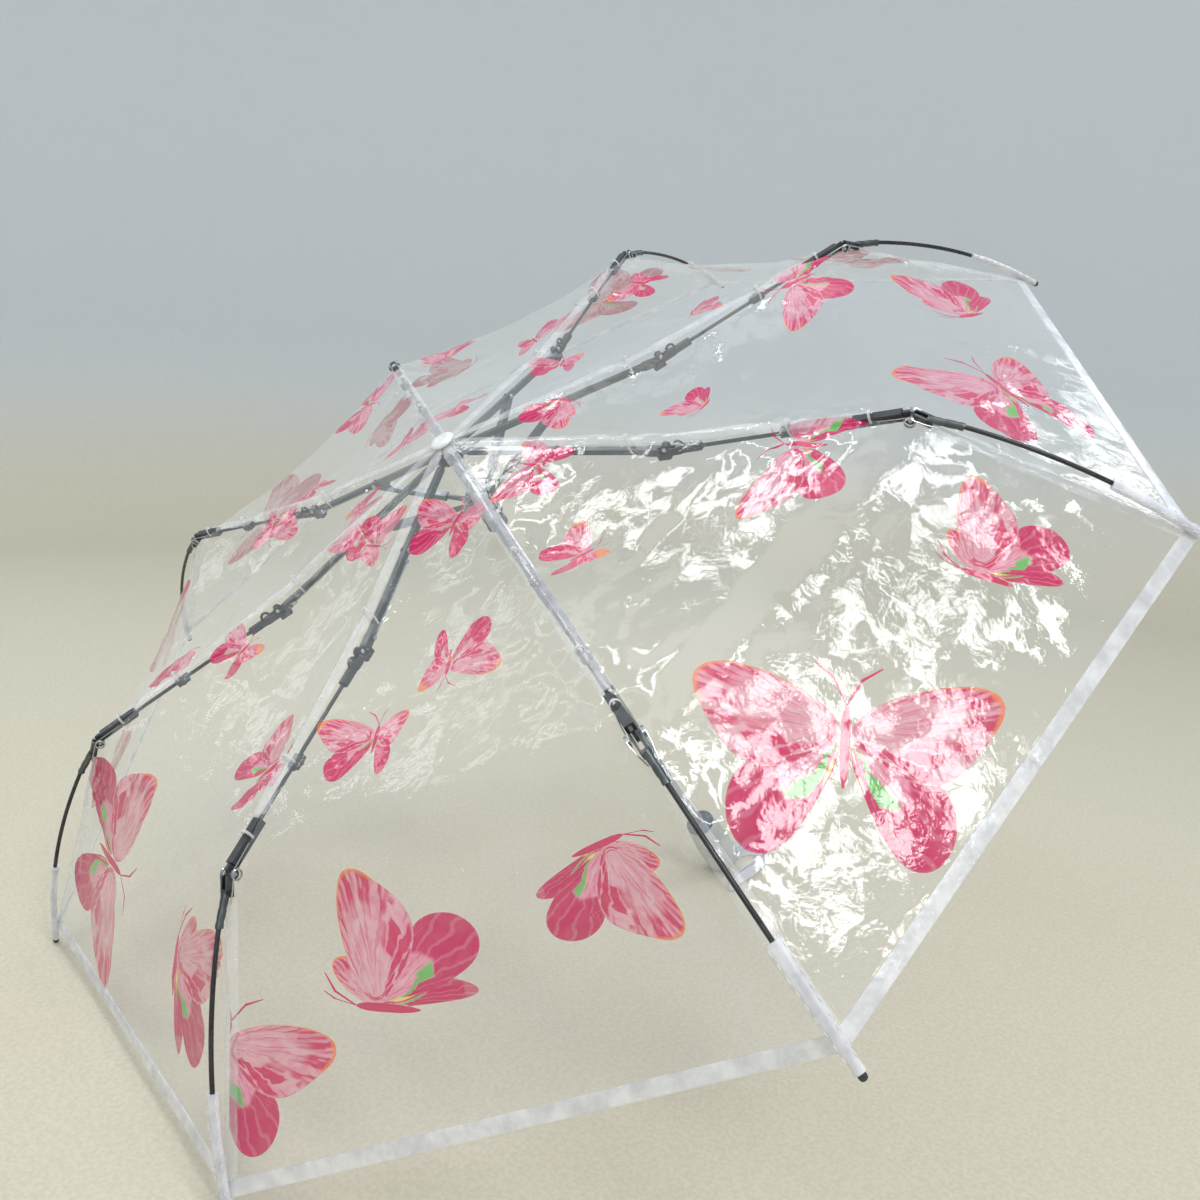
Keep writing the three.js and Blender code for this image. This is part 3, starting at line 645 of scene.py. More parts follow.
def insect(along, across, span, heading, near, far):
    """The closed outlines of one print in its panel's flat coordinates, the nearest first."""
    turn = radians(heading)
    ahead = Vector((cos(turn), sin(turn)))
    beside = Vector((-sin(turn), cos(turn)))
    half = span / 2

    def placed(point, width):
        return Vector((along, across)) + beside * point[0] * width * half + ahead * point[1] * half

    parts = [(BODY_MARK, [placed(p, 1) for p in rounded(ABDOMEN, 1)], None)]
    for width in (near, far):
        for kind, outline in ((FORE, FOREWING), (HIND, HINDWING)):
            points = [placed(p, width) for p in rounded(outline)]
            parts.append((kind, points, placed(ROOTS[kind], width)))
    for width in (near, far if near * far < 0 else near * 0.4):
        parts.append((FEELER, [placed(p, width) for p in FEELERS], None))
    return parts


def contains(outline, point):
    inside = False
    for a, b in zip(outline, outline[1:] + outline[:1]):
        if (a.y > point.y) != (b.y > point.y):
            if point.x < a.x + (point.y - a.y) * (b.x - a.x) / (b.y - a.y):
                inside = not inside
    return inside


def wing_place(outline, root, point):
    """(rho, round): 0 at the root and 1 on the outline, and 0 to 1 along the outline."""
    to, count = point - root, len(outline)
    best = (9.0, 0.0, 0.0)
    for k in range(count - 1):
        a, b = outline[k] - root, outline[k + 1] - root
        area = a.x * b.y - a.y * b.x
        if abs(area) < 1e-9:
            continue
        first = (to.x * b.y - to.y * b.x) / area
        second = (a.x * to.y - a.y * to.x) / area
        miss = -min(first, second, 0.0)
        if miss < best[0]:
            rho = first + second
            best = (miss, rho, (k + second / max(rho, 1e-6)) / (count - 1))
    return min(max(best[1], 0.0), 1.0), min(max(best[2], 0.0), 1.0)


# ---- the film's meshes ----


EDGE_ROOM, POINT_ROOM = 0.4, 0.3  # how far free points stay from the edge and fixed points, in grid steps
PLAN_EPSILON = 1e-3


def panel_plan(number):
    """The panel cut into triangles in its flat coordinates, along every outline of its print, the middle of
    the panel and the lines where the ribs' joints lie. Returns points, triangles and the prints' parts."""
    parts = [part for entry in PRINTS[number] for part in insect(*entry)]
    rows = [ELBOW_AT, KNEE_AT]
    for low, high in ((0.0, ELBOW_AT), (ELBOW_AT, KNEE_AT), (KNEE_AT, RIM)):
        count = max(round((high - low) / GRID), 1)
        rows += [low + (high - low) * k / count for k in range(count + 1)]
    rows = sorted(set(round(row, 6) for row in rows))
    points, edges = [], []

    def chain(line, closed=False):
        base = len(points)
        points.extend(Vector(p) for p in line)
        count = len(line)
        edges.extend((base + k, base + (k + 1) % count) for k in range(count if closed else count - 1))

    edge = {row: half_width(row) - slit(row) for row in rows}
    for side in (-1, 1):
        chain([(row, side * edge[row]) for row in rows])
    chain([(row, 0.0) for row in rows])
    for row in (rows[0], rows[-1]):
        chain([(row, -edge[row]), (row, 0.0), (row, edge[row])])
    for joint, reach in zip((ELBOW_AT, KNEE_AT), SHARE_OF_JOINT):
        limit = half_width(joint) - slit(joint)
        count = round(2 * limit / GRID / 2) * 2
        line = [limit * (2 * k / count - 1) for k in range(count + 1)]
        chain([(joint + reach * (1 - abs(across) / half_width(joint)), across) for across in line])
    for _, outline, _ in parts:
        chain(outline, closed=True)
    fixed = np.array([p[:] for p in points])
    for k, row in enumerate(rows):
        inner = edge[row] - GRID * EDGE_ROOM
        count = int(inner // GRID)
        for n in range(-count, count + 1):
            if n == 0:
                continue
            at = (row, (n + 0.25 * ((k % 2) * 2 - 1)) * inner / (count + 0.5))
            if np.min(np.hypot(fixed[:, 0] - at[0], fixed[:, 1] - at[1])) > GRID * POINT_ROOM:
                points.append(Vector(at))
    flat, _, triangles, *_ = delaunay_2d_cdt(points, edges, [], 0, PLAN_EPSILON)
    kept = []
    for triangle in triangles:
        middle = sum((flat[k] for k in triangle), Vector((0, 0))) / 3
        limit = half_width(middle.x) - slit(middle.x)
        if 0 < middle.x < RIM and abs(middle.y) < limit - EDGE_SLIVER:
            kept.append((triangle, middle))
    return flat, kept, parts


SECTIONS = ("inner", "middle", "outer")


def section_at(along, across):
    """0, 1 or 2: the rod that the film follows here."""
    for section, (joint, reach) in enumerate(zip((ELBOW_AT, KNEE_AT), SHARE_OF_JOINT)):
        if along < joint + reach * (1 - abs(across) / half_width(joint)):
            return section
    return 2


def film_pieces():
    """A panel has two halves, one for each rib beside it, in three lengths that follow that rib's rods. Side
    by side they are one sheet: they share their borders and the normals there."""
    gathered = {}
    for number in RIBS:
        for rib in (number, number % 8 + 1):
            for section in range(3):
                gathered[number, rib, section] = ([], [], [], [], [], [])
    for number in RIBS:
        flat, kept, parts = panel_plan(number)
        world = [film_point(number, p.x, p.y) for p in flat]
        normals = [film_normal(number, p.x, p.y) for p in flat]
        boxes = []
        for _, line, _ in parts:
            alongs, acrosses = [p.x for p in line], [p.y for p in line]
            boxes.append((min(alongs), max(alongs), min(acrosses), max(acrosses)))
        used = {}
        for triangle, middle in kept:
            a, b, c = (world[k] for k in triangle)
            rib = number if middle.y > 0 else number % 8 + 1
            section = section_at(middle.x, middle.y)
            points, faces, marks, wing, shades, cuts = gathered[number, rib, section]
            cuts.append([flat[k] for k in triangle])
            found = None
            for (kind, line, root), (x0, x1, y0, y1) in zip(parts, boxes):
                if x0 < middle.x < x1 and y0 < middle.y < y1 and contains(line, middle):
                    found = (kind, line, root)
                    break
            corner = []
            for k in triangle:
                key = (number, rib, section, k)
                if key not in used:
                    used[key] = len(points)
                    points.append(world[k])
                    shades.append(normals[k])
                corner.append(used[key])
            turn = (b - a).cross(c - a)
            order = (0, 1, 2) if turn.dot(normals[triangle[0]]) > 0 else (0, 2, 1)
            faces.append([corner[n] for n in order])
            marks.append(1 if found else 0)
            for n in order:
                place = (0.0, 0.0)
                if found and found[2] is not None:
                    place = wing_place(found[1], found[2], flat[triangle[n]])
                wing.append((*place, found[0] if found else 0.0))
    made = {}
    for (number, rib, section), (points, faces, marks, wing, shades, cuts) in gathered.items():
        name = f"canopy_film_{number}_rib_{rib}_{SECTIONS[section]}"
        mesh = bpy.data.meshes.new(name)
        mesh.from_pydata(points, [], faces)
        mesh.materials.append(CLEAR_FILM)
        mesh.materials.append(PRINTED_FILM)
        mesh.polygons.foreach_set("material_index", marks)
        layer = mesh.attributes.new("wing", "FLOAT_VECTOR", "CORNER")
        layer.data.foreach_set("vector", [x for entry in wing for x in entry])
        mesh.shade_smooth()
        mesh.normals_split_custom_set_from_vertices([n[:] for n in shades])
        made[number, rib, section] = (link_object(name, mesh), *cut_size(cuts))
    return made


def cut_size(cuts):
    """The width, length and area in metres of the flat film that these triangles of the plan are cut from."""
    alongs = [point.x for cut in cuts for point in cut]
    acrosses = [point.y for cut in cuts for point in cut]
    area = sum(abs((b - a).cross(c - a)) / 2 for a, b, c in cuts)
    flat = ((max(acrosses) - min(acrosses)) * MM, (max(alongs) - min(alongs)) * MM)
    return flat, area * MM * MM


def gather(piece, rib, section):
    """Works out the line of the rod that the film of this section follows, and gives the piece a mesh of its
    own.
    """
    start, end = RIDGE_POINTS[section + 1], RIDGE_POINTS[section + 2]
    frame_of_rib = rib_frame(rib)
    line = frame_of_rib @ Vector((end.x, 0, end.y)) - frame_of_rib @ Vector((start.x, 0, start.y))
    line.normalize()
    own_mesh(piece)


def beside_rib(rib, along, away, lift):
    """A point of the film at a distance from a rib's plane, to its left for a negative one."""
    number = rib if away <= 0 else (rib - 2) % 8 + 1
    half = half_width(along)
    across = half - abs(away) if number == rib else abs(away) - half
    return film_point(number, along, across, lift)


TAPE_SECTION = ((-5.9, 0.05), (-5.3, 0.55), (-2.6, 0.75), (0, 1.0), (2.6, 0.75), (5.3, 0.55), (5.9, 0.05))

TAPE_STEP = 6
TAPE_ROOM = 6.5  # the tape narrows where a panel's half width is less than this


def seam_tape(rib, start, end, name, body):
    """The overlap of two panels, welded under a tape, with its edges down on the film."""
    count = max(int((end - start) / TAPE_STEP), 2)
    points = []
    for k in range(count + 1):
        along = start + (end - start) * k / count
        fit = min(1.0, half_width(along) / TAPE_ROOM)
        points += [beside_rib(rib, along, away * fit, lift) for away, lift in TAPE_SECTION]
    faces = strips(count + 1, len(TAPE_SECTION), closed=False)
    made = Shape().add(points, faces).make(name, Matrix.Identity(4), [TAPE], 60)
    return fit_out(made, body)


HEM = {"width": 9.0, "half": 0.6, "lip": 0.8, "edge": (0.6, 0.3), "steps": 24}


def hem(number, rib):
    """The folded binding along the rim, from the middle of a panel to its rib."""
    width, half, count = HEM["width"], HEM["half"], HEM["steps"]
    fold, lip, edge = -width * 0.5, -HEM["lip"], HEM["edge"]
    upper = ((-width, half), (fold, half * 1.3), (lip, half), edge)
    section = upper + tuple((along, -lift) for along, lift in upper[::-1])
    side = 1 if number == rib else -1
    points = []
    for k in range(count + 1):
        for along, lift in section:
            across = min(half_width(RIM) * k / count, half_width(RIM + along))
            points.append(film_point(number, RIM + along, side * across, lift))
    wide = len(section)
    faces = strips(count + 1, wide) + [list(range(wide)), [count * wide + n for n in range(wide)]]
    name = f"hem_binding_{number}_rib_{rib}"
    made = Shape().add(points, faces).make(name, Matrix.Identity(4), [BINDING], 60)
    gather(made, rib, 2)
    return fit_out(made, f"outer_rib_{rib}")


# ---- rods and joints ----

ELBOW_DROP, KNEE_DROP, OUTER_DROP = 10.8, 1.3, 41.7
TOP_LENGTH, MIDDLE_LENGTH, OUTER_LENGTH = 170.0, 170.0, 197.0
ELBOW_RISE, KNEE_FALL, BOW = 3.0, 3.2, 12.0
STRETCHER_JOINT = 83.5
ROD = 1.5


def along_link(start, drop, along, above):
    turn = radians(drop)
    return (
        start[0] + along * cos(turn) + above * sin(turn),
        start[1] - along * sin(turn) + above * cos(turn),
    )


ELBOW = along_link(CROWN_PIVOT, ELBOW_DROP, TOP_LENGTH, ELBOW_RISE)
KNEE = along_link(ELBOW, KNEE_DROP, MIDDLE_LENGTH, -ELBOW_RISE - KNEE_FALL)


# The tip's bead as places along the rod and half widths
TIP_BEAD = (
    (190, 1.5), (190.3, 2.0), (193, 2.1), (193.3, 1.7), (194.6, 1.7), (195, 2.3), (197, 2.5), (198.6, 2.1),
    (199.3, 1.0), (199.4, 0.1),
)


def bowed(x):
    return KNEE_FALL + 4 * BOW * (x / OUTER_LENGTH) * (1 - x / OUTER_LENGTH)


def outer_rod(rib):
    """The outer rod with its fork, crimped sleeve and the stepped bead at its tip."""
    shape, line = Shape(), KNEE_FALL
    cheek = (line - 2.6, line + 2.6)
    for side in (-1, 1):
        low, high = sorted((side * 1.55, side * 3.2))
        shape.block(((0, 12), (low, high), cheek), 1)
        shape.across(0, 0, 3.2, low, high, 1)
        shape.across(0, 0, 1.25, *sorted((side * 3.1, side * 3.9)), 2)
    shape.block(((8, 13), (-3.2, 3.2), cheek), 1)
    marks = range(11)
    climb = bowed(24) - line - 1
    sleeve = [(10 + 2 * k, 0, line + 1 + climb * min(k / 8, 1.15)) for k in marks]
    shape.tube(sleeve, [(w, w) for w in (2.5 if k % 4 else 2.2 for k in marks)], 20, 1)
    steps = 48
    path = [(22 + (OUTER_LENGTH - 24) * k / steps) for k in range(steps + 1)]
    shape.tube([(x, 0, bowed(x)) for x in path], [(ROD, ROD)] * len(path))
    bead = [(x, 0, bowed(min(x, OUTER_LENGTH))) for x, _ in TIP_BEAD]
    shape.tube(bead, [(w, w) for _, w in TIP_BEAD], 20, 3)
    materials = [GLASS_ROD, GUNMETAL, WIRE, BLACK]
    made = shape.make(f"outer_rod_{rib}", link_frame(rib, KNEE, OUTER_DROP), materials)
    return fit_out(made, f"outer_rib_{rib}", f"outer_rib_{rib}")


POCKET_SIZE = {"start": 122, "length": 73, "narrows": 1.6}
STITCH = {"count": 9, "pitch": 7.5, "half": 1.6}


def corner_pocket(rib):
    """The sewn pocket of the canopy's corner that the last of the rod slides into."""
    start, length, narrows = POCKET_SIZE["start"], POCKET_SIZE["length"], POCKET_SIZE["narrows"]
    path, sizes = [], []
    for k in range(21):
        share = k / 20
        x = start + length * share
        path.append((x, 0, bowed(x) - 0.3))
        wide = 4.9 - narrows * share + 0.25 * sin(share * 26)
        sizes.append((wide, 2.55 + 0.3 * sin(share * 19 + rib) * (1 - share)))
    shape = Shape().tube(path, sizes, 20)
    half = STITCH["half"]
    for side in (-1, 1):
        for k in range(STITCH["count"]):
            x = start + 4 + STITCH["pitch"] * k
            wide = side * (4.5 - narrows * (x - start) / length)
            high = bowed(x) + 1.1
            stitch = [(x - half, wide, high), (x, wide, high + 0.5), (x + half, wide, high)]
            shape.tube(stitch, [(0.3, 0.3)] * 3, 6, 1)
    made = shape.make(f"corner_pocket_{rib}", link_frame(rib, KNEE, OUTER_DROP), [POCKET, THREAD])
    return fit_out(made, f"outer_rib_{rib}")


SPRING = {"radius": 3.3, "wire": 0.42, "turns": 2, "steps": 16, "pitch": 0.9}


def knee_spring(rib):
    """A hairpin spring: two coils on the knee's pin, with legs along the middle rod and the outer rod."""
    shape, leg, radius = Shape(), Shape(), SPRING["radius"]
    bend = radians(OUTER_DROP - KNEE_DROP)
    away = Vector((cos(bend), 0, -sin(bend)))
    turns, count = SPRING["turns"], SPRING["steps"] * SPRING["turns"] + 2
    sweep = 2 * pi * turns + bend
    for side in (-1, 1):
        path = [Vector((-20, side * 2.9, KNEE_FALL)), Vector((-9, side * 3.9, radius))]
        for k in range(count + 1):
            turn = pi / 2 - sweep * k / count
            beside = side * (4.3 + SPRING["pitch"] * turns * k / count)
            path.append(Vector((radius * cos(turn), beside, radius * sin(turn))))
        end = path[-1]
        near, far = Vector((0, side * 0.9, 0)), Vector((0, side * 3.0, 0))
        reach = [end, end + away * 8 - near, end + away * 17 - far]
        for part, line in ((shape, path), (leg, reach)):
            part.tube(line, [(SPRING["wire"],) * 2] * len(line), 8)
    for part, name, body in ((shape, "spring", "middle_rib"), (leg, "spring_leg", "outer_rib")):
        made = part.make(f"knee_{name}_{rib}", link_frame(rib, KNEE, KNEE_DROP), [WIRE])
        fit_out(made, f"{body}_{rib}")


DOME_HEIGHT = 0.55  # as a share of its radius


def dome(shape, x, radius, base, mark=0):
    """A rivet's domed head on each side of a joint."""
    turns = [k * pi / 12 for k in range(7)]
    rings = [(radius * cos(turn), radius * DOME_HEIGHT * sin(turn)) for turn in turns]
    for side in (-1, 1):
        turn = Matrix.Translation((x, side * base, 0)) @ Matrix.Rotation(-side * pi / 2, 4, "X")
        shape.turned(rings, 20, mark, turn)


CLIP_AT = 0.53  # as a share of the middle rod


def joint_rivets(rib):
    """Rivet heads, the ear of the elbow, the rod's crimped sleeve there and the clip on the rod."""
    top = Shape()
    dome(top, STRETCHER_JOINT, 2.0, 3.0)
    made = top.make(f"stretcher_rivet_{rib}", link_frame(rib, CROWN_PIVOT, ELBOW_DROP), [WIRE])
    fit_out(made, f"top_rib_{rib}")
    elbow, marks = Shape(), range(18)
    dome(elbow, 0, 1.7, 3.3, 1)
    sleeve = [(10 + k, 0, -ELBOW_RISE) for k in marks]
    elbow.tube(sleeve, [(2.9 - 0.25 * (k % 5 == 0), 2.9) for k in marks], 20)
    ear = [(7, 0, 1.2), (9, 0, 3.4), (11, 0, 3.8), (13, 0, 2.4), (14, 0, 0.2)]
    elbow.tube(ear, [(1.1, 1.0)] * len(ear), 12)
    elbow.block(((-8, 2), (-2.9, 2.9), (-9.2, -3.6)), 0, 0.8)
    clip = Shape()
    middle = CLIP_AT * MIDDLE_LENGTH
    for offset in (-4.6, 4.6):
        path = [(middle + offset + k * 0.12, 0, -ELBOW_RISE) for k in range(9)]
        clip.tube(path, [(2.75, 2.75)] * len(path))
    clip.across(middle, -ELBOW_RISE, 2.9, 2.2, 5.2)
    for part, name, materials in ((elbow, "elbow_sleeve", [BLACK, WIRE]), (clip, "rod_clip", [BLACK])):
        made = part.make(f"{name}_{rib}", link_frame(rib, ELBOW, KNEE_DROP), materials)
        fit_out(made, f"middle_rib_{rib}")


# Where the top and the middle rod start, as (r, z), and how much they fall for each millimetre outwards
TIED_ROD = (((10, -14), tan(radians(ELBOW_DROP))), ((177, -46.2), 0.0227))


def ties(rib):
    """Thread that holds the film to the rods: a few turns round the rod, and a knot on the tape."""
    for number, (along, section) in enumerate(zip(TIES, (0, 1, 1))):
        shape = Shape()
        r, z = ridge(along)
        (start_r, start_z), slope = TIED_ROD[section]
        rod_z = start_z - (r - start_r) * slope
        middle, high = (z + rod_z) / 2, (z - rod_z) / 2 + 3.2
        angles = [2 * pi * k / 16 for k in range(17)]
        for turn in range(3):
            x = r + (turn - 1) * 0.6
            path = [(x, 3.4 * cos(angle), middle + high * sin(angle)) for angle in angles]
            shape.tube(path, [(0.2, 0.2)] * len(path), 6, side=(1, 0, 0))
        knot = []
        for k in range(9):
            knot.append((r - 2 + 0.5 * k, 0.8 * sin(k * 2.4), z + 2.0 + 0.4 * sin(k * 1.7)))
        shape.tube(knot, [(0.4, 0.4)] * len(knot), 8)
        made = shape.make(f"film_tie_{rib}_{number + 1}", rib_frame(rib), [THREAD])
        fit_out(made, f"{BODY_OF_SECTION[section]}_{rib}")


# ---- cap, shaft and handle ----


def turned_piece(name, profile, body, node, material, extra=None):
    shape = Shape().turned(profile, 64)
    if extra:
        extra(shape)
    return fit_out(shape.make(name, UMBRELLA, [material], 35), body, node)


LEAST_ROUND = 0.05


def rounded_profile(profile, radius=0.5):
    """The profile with each corner off the axis cut by a small round."""
    out = [profile[0]]
    for last, at, following in zip(profile, profile[1:], profile[2:]):
        a, b, c = Vector(last), Vector(at), Vector(following)
        cut = min(radius, (a - b).length / 2.2, (c - b).length / 2.2)
        if cut < LEAST_ROUND:
            out.append(at)
            continue
        start = b + (a - b).normalized() * cut
        end = b + (c - b).normalized() * cut
        for k in range(4):
            t = k / 3
            out.append(tuple(start * (1 - t) ** 2 + b * 2 * t * (1 - t) + end * t * t))
    return out + [profile[-1]]


# Turned outlines as (radius, z)
CAP_PROFILE = (
    (0, -9.7), (3, -9.7), (3, -3.7), (9.0, -3.7), (9.9, -3.0), (10, -1.7), (8.6, -0.55), (6.2, 0),
    (4.4, -0.05), (4.1, -0.35), (0, -0.4),
)
GRIP_PROFILE = (
    (3.5, -545), (3.5, -495.1), (13.6, -495.1), (14.6, -496.4), (16.4, -514), (16.8, -521), (17, -529),
    (16.9, -540), (16.75, -548.6), (16.3, -549.2), (16.3, -549.9), (16.6, -550.4), (16.2, -552.9),
    (0, -552.9),
)
COLLAR_PROFILE = (
    (3.5, -494.6), (13.6, -494.6), (14.0, -493.4), (14.1, -491.8), (12.8, -489.6), (9.8, -488.6),
    (5.2, -488.5), (4.9, -489.2), (3.5, -489.2), (3.5, -494.6),
)
PLUG_PROFILE = (
    (0, -553.3), (15.1, -553.3), (15.2, -554.9), (14.5, -556), (6.5, -556), (5.9, -555.2), (0, -555.1),
)
# Each tube's name, body, outer and inner radius, top and bottom
TUBES = (
    ("upper", "upper_tube", 5.0, 4.4, -16.0, -215.0),
    ("middle", "middle_tube", 4.1, 3.5, -203.0, -353.0),
    ("lower", "handle", 3.2, 2.6, -341.0, -545.0),
)


def tube_profile(outer, inner, top, bottom):
    """A thin tube with eased ends and a rolled groove near its lower one."""
    end = bottom + 6
    groove = [(outer, end), (outer - 0.25, end + 0.5), (outer - 0.25, end + 1.4), (outer, end + 1.9)]
    foot = [(inner, bottom), (outer - 0.2, bottom), (outer, bottom + 0.4)]
    return foot + groove + [(outer, top - 0.4), (outer - 0.2, top), (inner, top), (inner, bottom)]


def anchor(shape):
    """The wire bow under the plug that holds the strap."""
    turns = [pi * k / 12 for k in range(13)]
    path = [(4.2 * cos(turn), 0, -555.2 - 2.6 * sin(turn)) for turn in turns]
    shape.tube(path, [(0.9, 0.9)] * len(path), 12)


def top_and_handle():
    cap = rounded_profile(CAP_PROFILE, 0.6)
    turned_piece("cap_dome", cap, "upper_tube", "top_cap", WHITE)
    for name, body, *size in TUBES:
        turned_piece(f"tube_{name}", tube_profile(*size), body, f"shaft_{name}", SHAFT)
    grip = rounded_profile(GRIP_PROFILE, 0.5)
    turned_piece("grip_shell", grip, "handle", "handle_grip", GRIP)
    collar = rounded_profile(COLLAR_PROFILE, 0.9)
    turned_piece("collar_shell", collar, "handle", "handle_collar", COLLAR)
    base = rounded_profile(PLUG_PROFILE, 0.4)
    turned_piece("base_plug", base, "handle", "handle_base", GRIP, anchor)


STRAP_ROUTE = ((0, 9), (-10, 32), (-6, 50), (10, 50), (24, 22), (34, -12), (42, -32))
STRAP = {"width": 12.0, "thick": 0.9, "half": 2.5, "widest": 2.9, "edge": 0.3, "lift": 0.5}


def smooth_line(points, steps):
    """Points at even steps along a curve through the given ones, and its length."""
    points = [Vector(p) for p in points]
    padded = [points[0] * 2 - points[1]] + points + [points[-1] * 2 - points[-2]]
    fine = []
    for a, b, c, d in zip(padded, padded[1:], padded[2:], padded[3:]):
        for k in range(20):
            t = k / 20
            bend, twist = 2 * a - 5 * b + 4 * c - d, 3 * b - a - 3 * c + d
            fine.append(0.5 * (2 * b + (c - a) * t + bend * t * t + twist * t**3))
    fine.append(points[-1])
    lengths = np.concatenate([[0], np.cumsum([(b - a).length for a, b in zip(fine, fine[1:])])])
    even = np.linspace(0, lengths[-1], steps + 1)
    line = [Vector([np.interp(x, lengths, [p[axis] for p in fine]) for axis in (0, 1)]) for x in even]
    return line, lengths[-1]


def wrist_strap():
    """A ribbon loop from the base plug that stands on its edge on the floor, as its last fold left it."""
    plug = UMBRELLA @ Vector((0, 0, -556))
    steps = 60
    line, length = smooth_line(STRAP_ROUTE, steps)
    half, width, thick, lift = (STRAP[key] for key in ("half", "width", "thick", "lift"))
    outward, back = [], []
    for k, at in enumerate(line):
        ahead = (line[min(k + 1, steps)] - line[max(k - 1, 0)]).normalized()
        left = Vector((-ahead.y, ahead.x))
        spread = half * (1 - 0.35 * cos(2 * pi * k / steps)) * (0.75 if k < 4 else 1)
        outward.append(at + left * min(spread, STRAP["widest"]))
        back.append(at - left * min(spread, STRAP["widest"]))
    tip = line[-1] + (line[-1] - line[-2]).normalized() * half
    start = line[0] + (line[0] - line[1]).normalized() * half * 0.8
    ring = [start] + outward + [tip] + back[::-1]
    low, high, count = STRAP["edge"], width - STRAP["edge"], len(ring)
    section = ((1, low), (1, high), (0, width), (-1, high), (-1, low), (0, 0))
    points = []
    for k, at in enumerate(ring):
        ahead = (ring[(k + 1) % count] - ring[k - 1]).normalized()
        left = Vector((-ahead.y, ahead.x)) * thick / 2
        points += [(*(at + left * side), z + lift) for side, z in section]
    shape = Shape().add(points, strips(count, len(section), ring=True))
    place = Matrix.Translation((plug.x, plug.y, 0)) @ Matrix.Scale(MM, 4)
    made = fit_out(shape.make("strap_ribbon", place, [RIBBON], 50), "handle", "wrist_strap")


# ---- build ----

films = film_pieces()
# The tape leaves the knee free, and ends short of the cap and the hem
TAPE_ENDS = ((2.0, ELBOW_AT), (ELBOW_AT, KNEE_AT - 32), (KNEE_AT + 22, RIM - 4))
for rib in RIBS:
    tapes = []
    for section, (start, end) in enumerate(TAPE_ENDS):
        body = f"{BODY_OF_SECTION[section]}_{rib}"
        tapes.append(seam_tape(rib, start, end, f"seam_tape_{rib}_{section + 1}", body))
    pocket = corner_pocket(rib)
    for number in (rib, (rib - 2) % 8 + 1):
        binding = hem(number, rib)
        for section in range(3):
            film, flat, area = films[number, rib, section]
            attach(film, f"{BODY_OF_SECTION[section]}_{rib}")
            gather(film, rib, section)
            extras = [tapes[section]] if number == rib else []
            if section == 2:
                extras += [binding, pocket] if number == rib else [binding]
    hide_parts(f"canopy_panel_{rib}")
    outer_rod(rib)
    knee_spring(rib)
    joint_rivets(rib)
    ties(rib)
top_and_handle()
wrist_strap()

# ---- floor, light and camera ----


FLOOR_GAP = 0.0006


def studio():
    """A pale floor that curves up into a pale wall all round, well behind every camera."""
    paint = Paint("studio", Roughness=0.85, Specular_IOR_Level=0.2)
    height = paint.node("ShaderNodeSeparateXYZ", {0: paint.place()}).outputs[2]
    rise = paint.ease(height, 0.02, 0.5)
    grain = paint.noise(300.0, 3.0)
    floor_tone = paint.mix(paint.ease(grain, 0.3, 0.7), rgb(0.58, 0.54, 0.43), rgb(0.64, 0.60, 0.49))
    paint.put("Base Color", paint.mix(rise, floor_tone, rgb(0.60, 0.64, 0.68)))
    paint.bump(grain, 0.0008, 0.4)
    flat, curve, wall = 2.0, 0.5, 4.0
    profile = [(0.0, 0.0), (1.0, 0.0), (flat, 0.0)]
    profile += [
        (flat + curve * sin(a), curve - curve * cos(a))
        for a in (pi / 2 * k / 12 for k in range(1, 13))
    ]
    profile.append((flat + curve, wall))
    below = Matrix.Translation((0, 0, -FLOOR_GAP))
    Shape().turned(profile, 96).make("studio", below, [paint.material])


def look(position, forward, roll=0.0):
    """The matrix of something at a place that looks forward, turned clockwise by roll degrees."""
    forward = Vector(forward).normalized()
    right = forward.cross(Vector((0, 0, 1))).normalized()
    up = right.cross(forward)
    turn = radians(roll)
    tilted = right * cos(turn) + up * sin(turn)
    over = tilted.cross(forward)
    return Matrix.Translation(position) @ Matrix((tilted, over, -forward)).transposed().to_4x4()


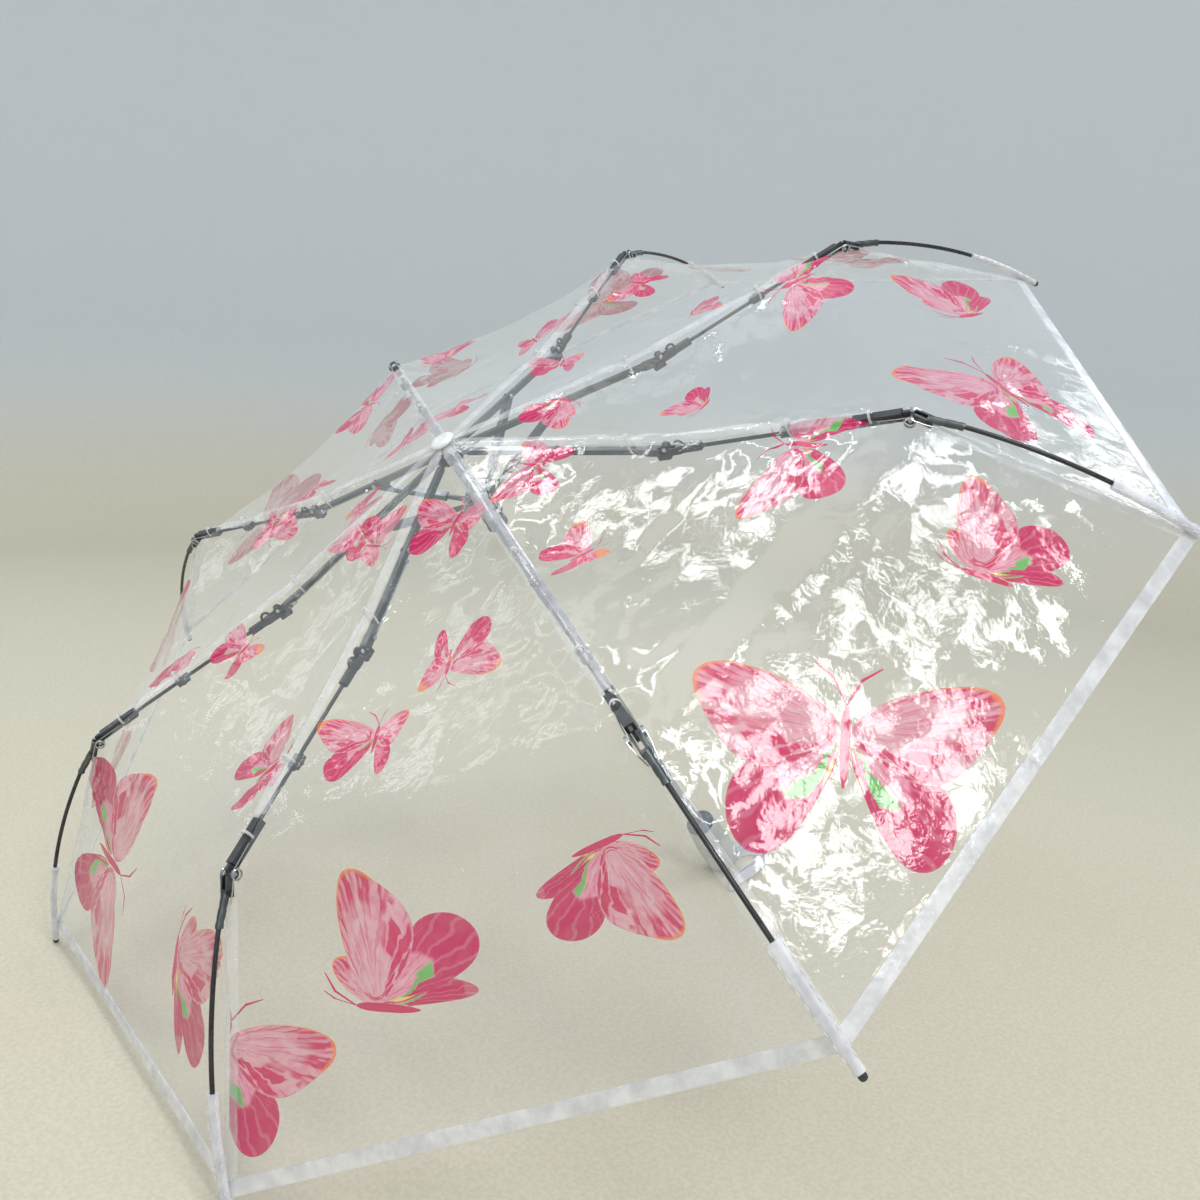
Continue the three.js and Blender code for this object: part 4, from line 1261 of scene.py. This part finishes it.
def softbox(name, position, target, size, power, colour=(0.97, 0.99, 1.0)):
    """A rectangular light that isn't seen itself, and is daylight where no colour is named."""
    data = bpy.data.lights.new(name, "AREA")
    data.shape = "RECTANGLE"
    data.size, data.size_y = size
    data.energy = power
    data.color = colour
    made = link_object(name, data)
    made.matrix_world = look(position, Vector(target) - Vector(position))
    made.visible_camera = False


def lights():
    world = bpy.data.worlds.new("room")
    world.use_nodes = True
    sky = world.node_tree.nodes["Background"].inputs
    sky["Color"].default_value = rgb(0.80, 0.86, 0.92)
    sky["Strength"].default_value = 0.62
    bpy.context.scene.world = world
    softbox("ceiling", (0.1, -0.2, 3.2), (0, 0, 0.2), (2.6, 2.2), 30, (1.0, 0.99, 0.96))
    softbox("window", (1.75, -0.35, 2.0), (0.38, -0.05, 0.3), (0.50, 0.75), 20)
    softbox("far_window", (-1.25, -0.55, 2.35), (0.2, -0.1, 0.38), (0.5, 0.5), 12)
    softbox("left_window", (-1.9, -0.8, 1.1), (0, -0.2, 0.3), (0.2, 0.8), 1.6)
    softbox("high_left", (-1.55, -1.2, 1.6), (0.15, -0.16, 0.35), (0.2, 0.5), 1.5)
    softbox("back_window", (0.1, 1.9, 1.64), (0.4, 0.1, 0.45), (0.3, 0.4), 3)
    softbox("front_fill", (1.3, -1.9, 1.2), (0, 0, 0.3), (1.6, 1.2), 7, (1.0, 0.98, 0.94))


CAMERA = {
    "place": (0.7432, -0.5643, 0.5028), "azimuth": -50.35, "down": 12.0, "roll": 3.94,
    "lens": 33.98, "sensor": 36.0,
}


def camera():
    data = bpy.data.cameras.new("camera")
    data.lens, data.sensor_width = CAMERA["lens"], CAMERA["sensor"]
    data.clip_start, data.clip_end = 0.02, 50
    made = link_object("camera", data)
    azimuth, down = radians(CAMERA["azimuth"]), radians(CAMERA["down"])
    flat = cos(down)
    forward = (sin(azimuth) * flat, cos(azimuth) * flat, -sin(down))
    made.matrix_world = look(CAMERA["place"], forward, CAMERA["roll"])
    bpy.context.scene.camera = made


studio()
lights()
camera()
bpy.context.scene.view_settings.view_transform = "Standard"

bpy.context.view_layer.update()
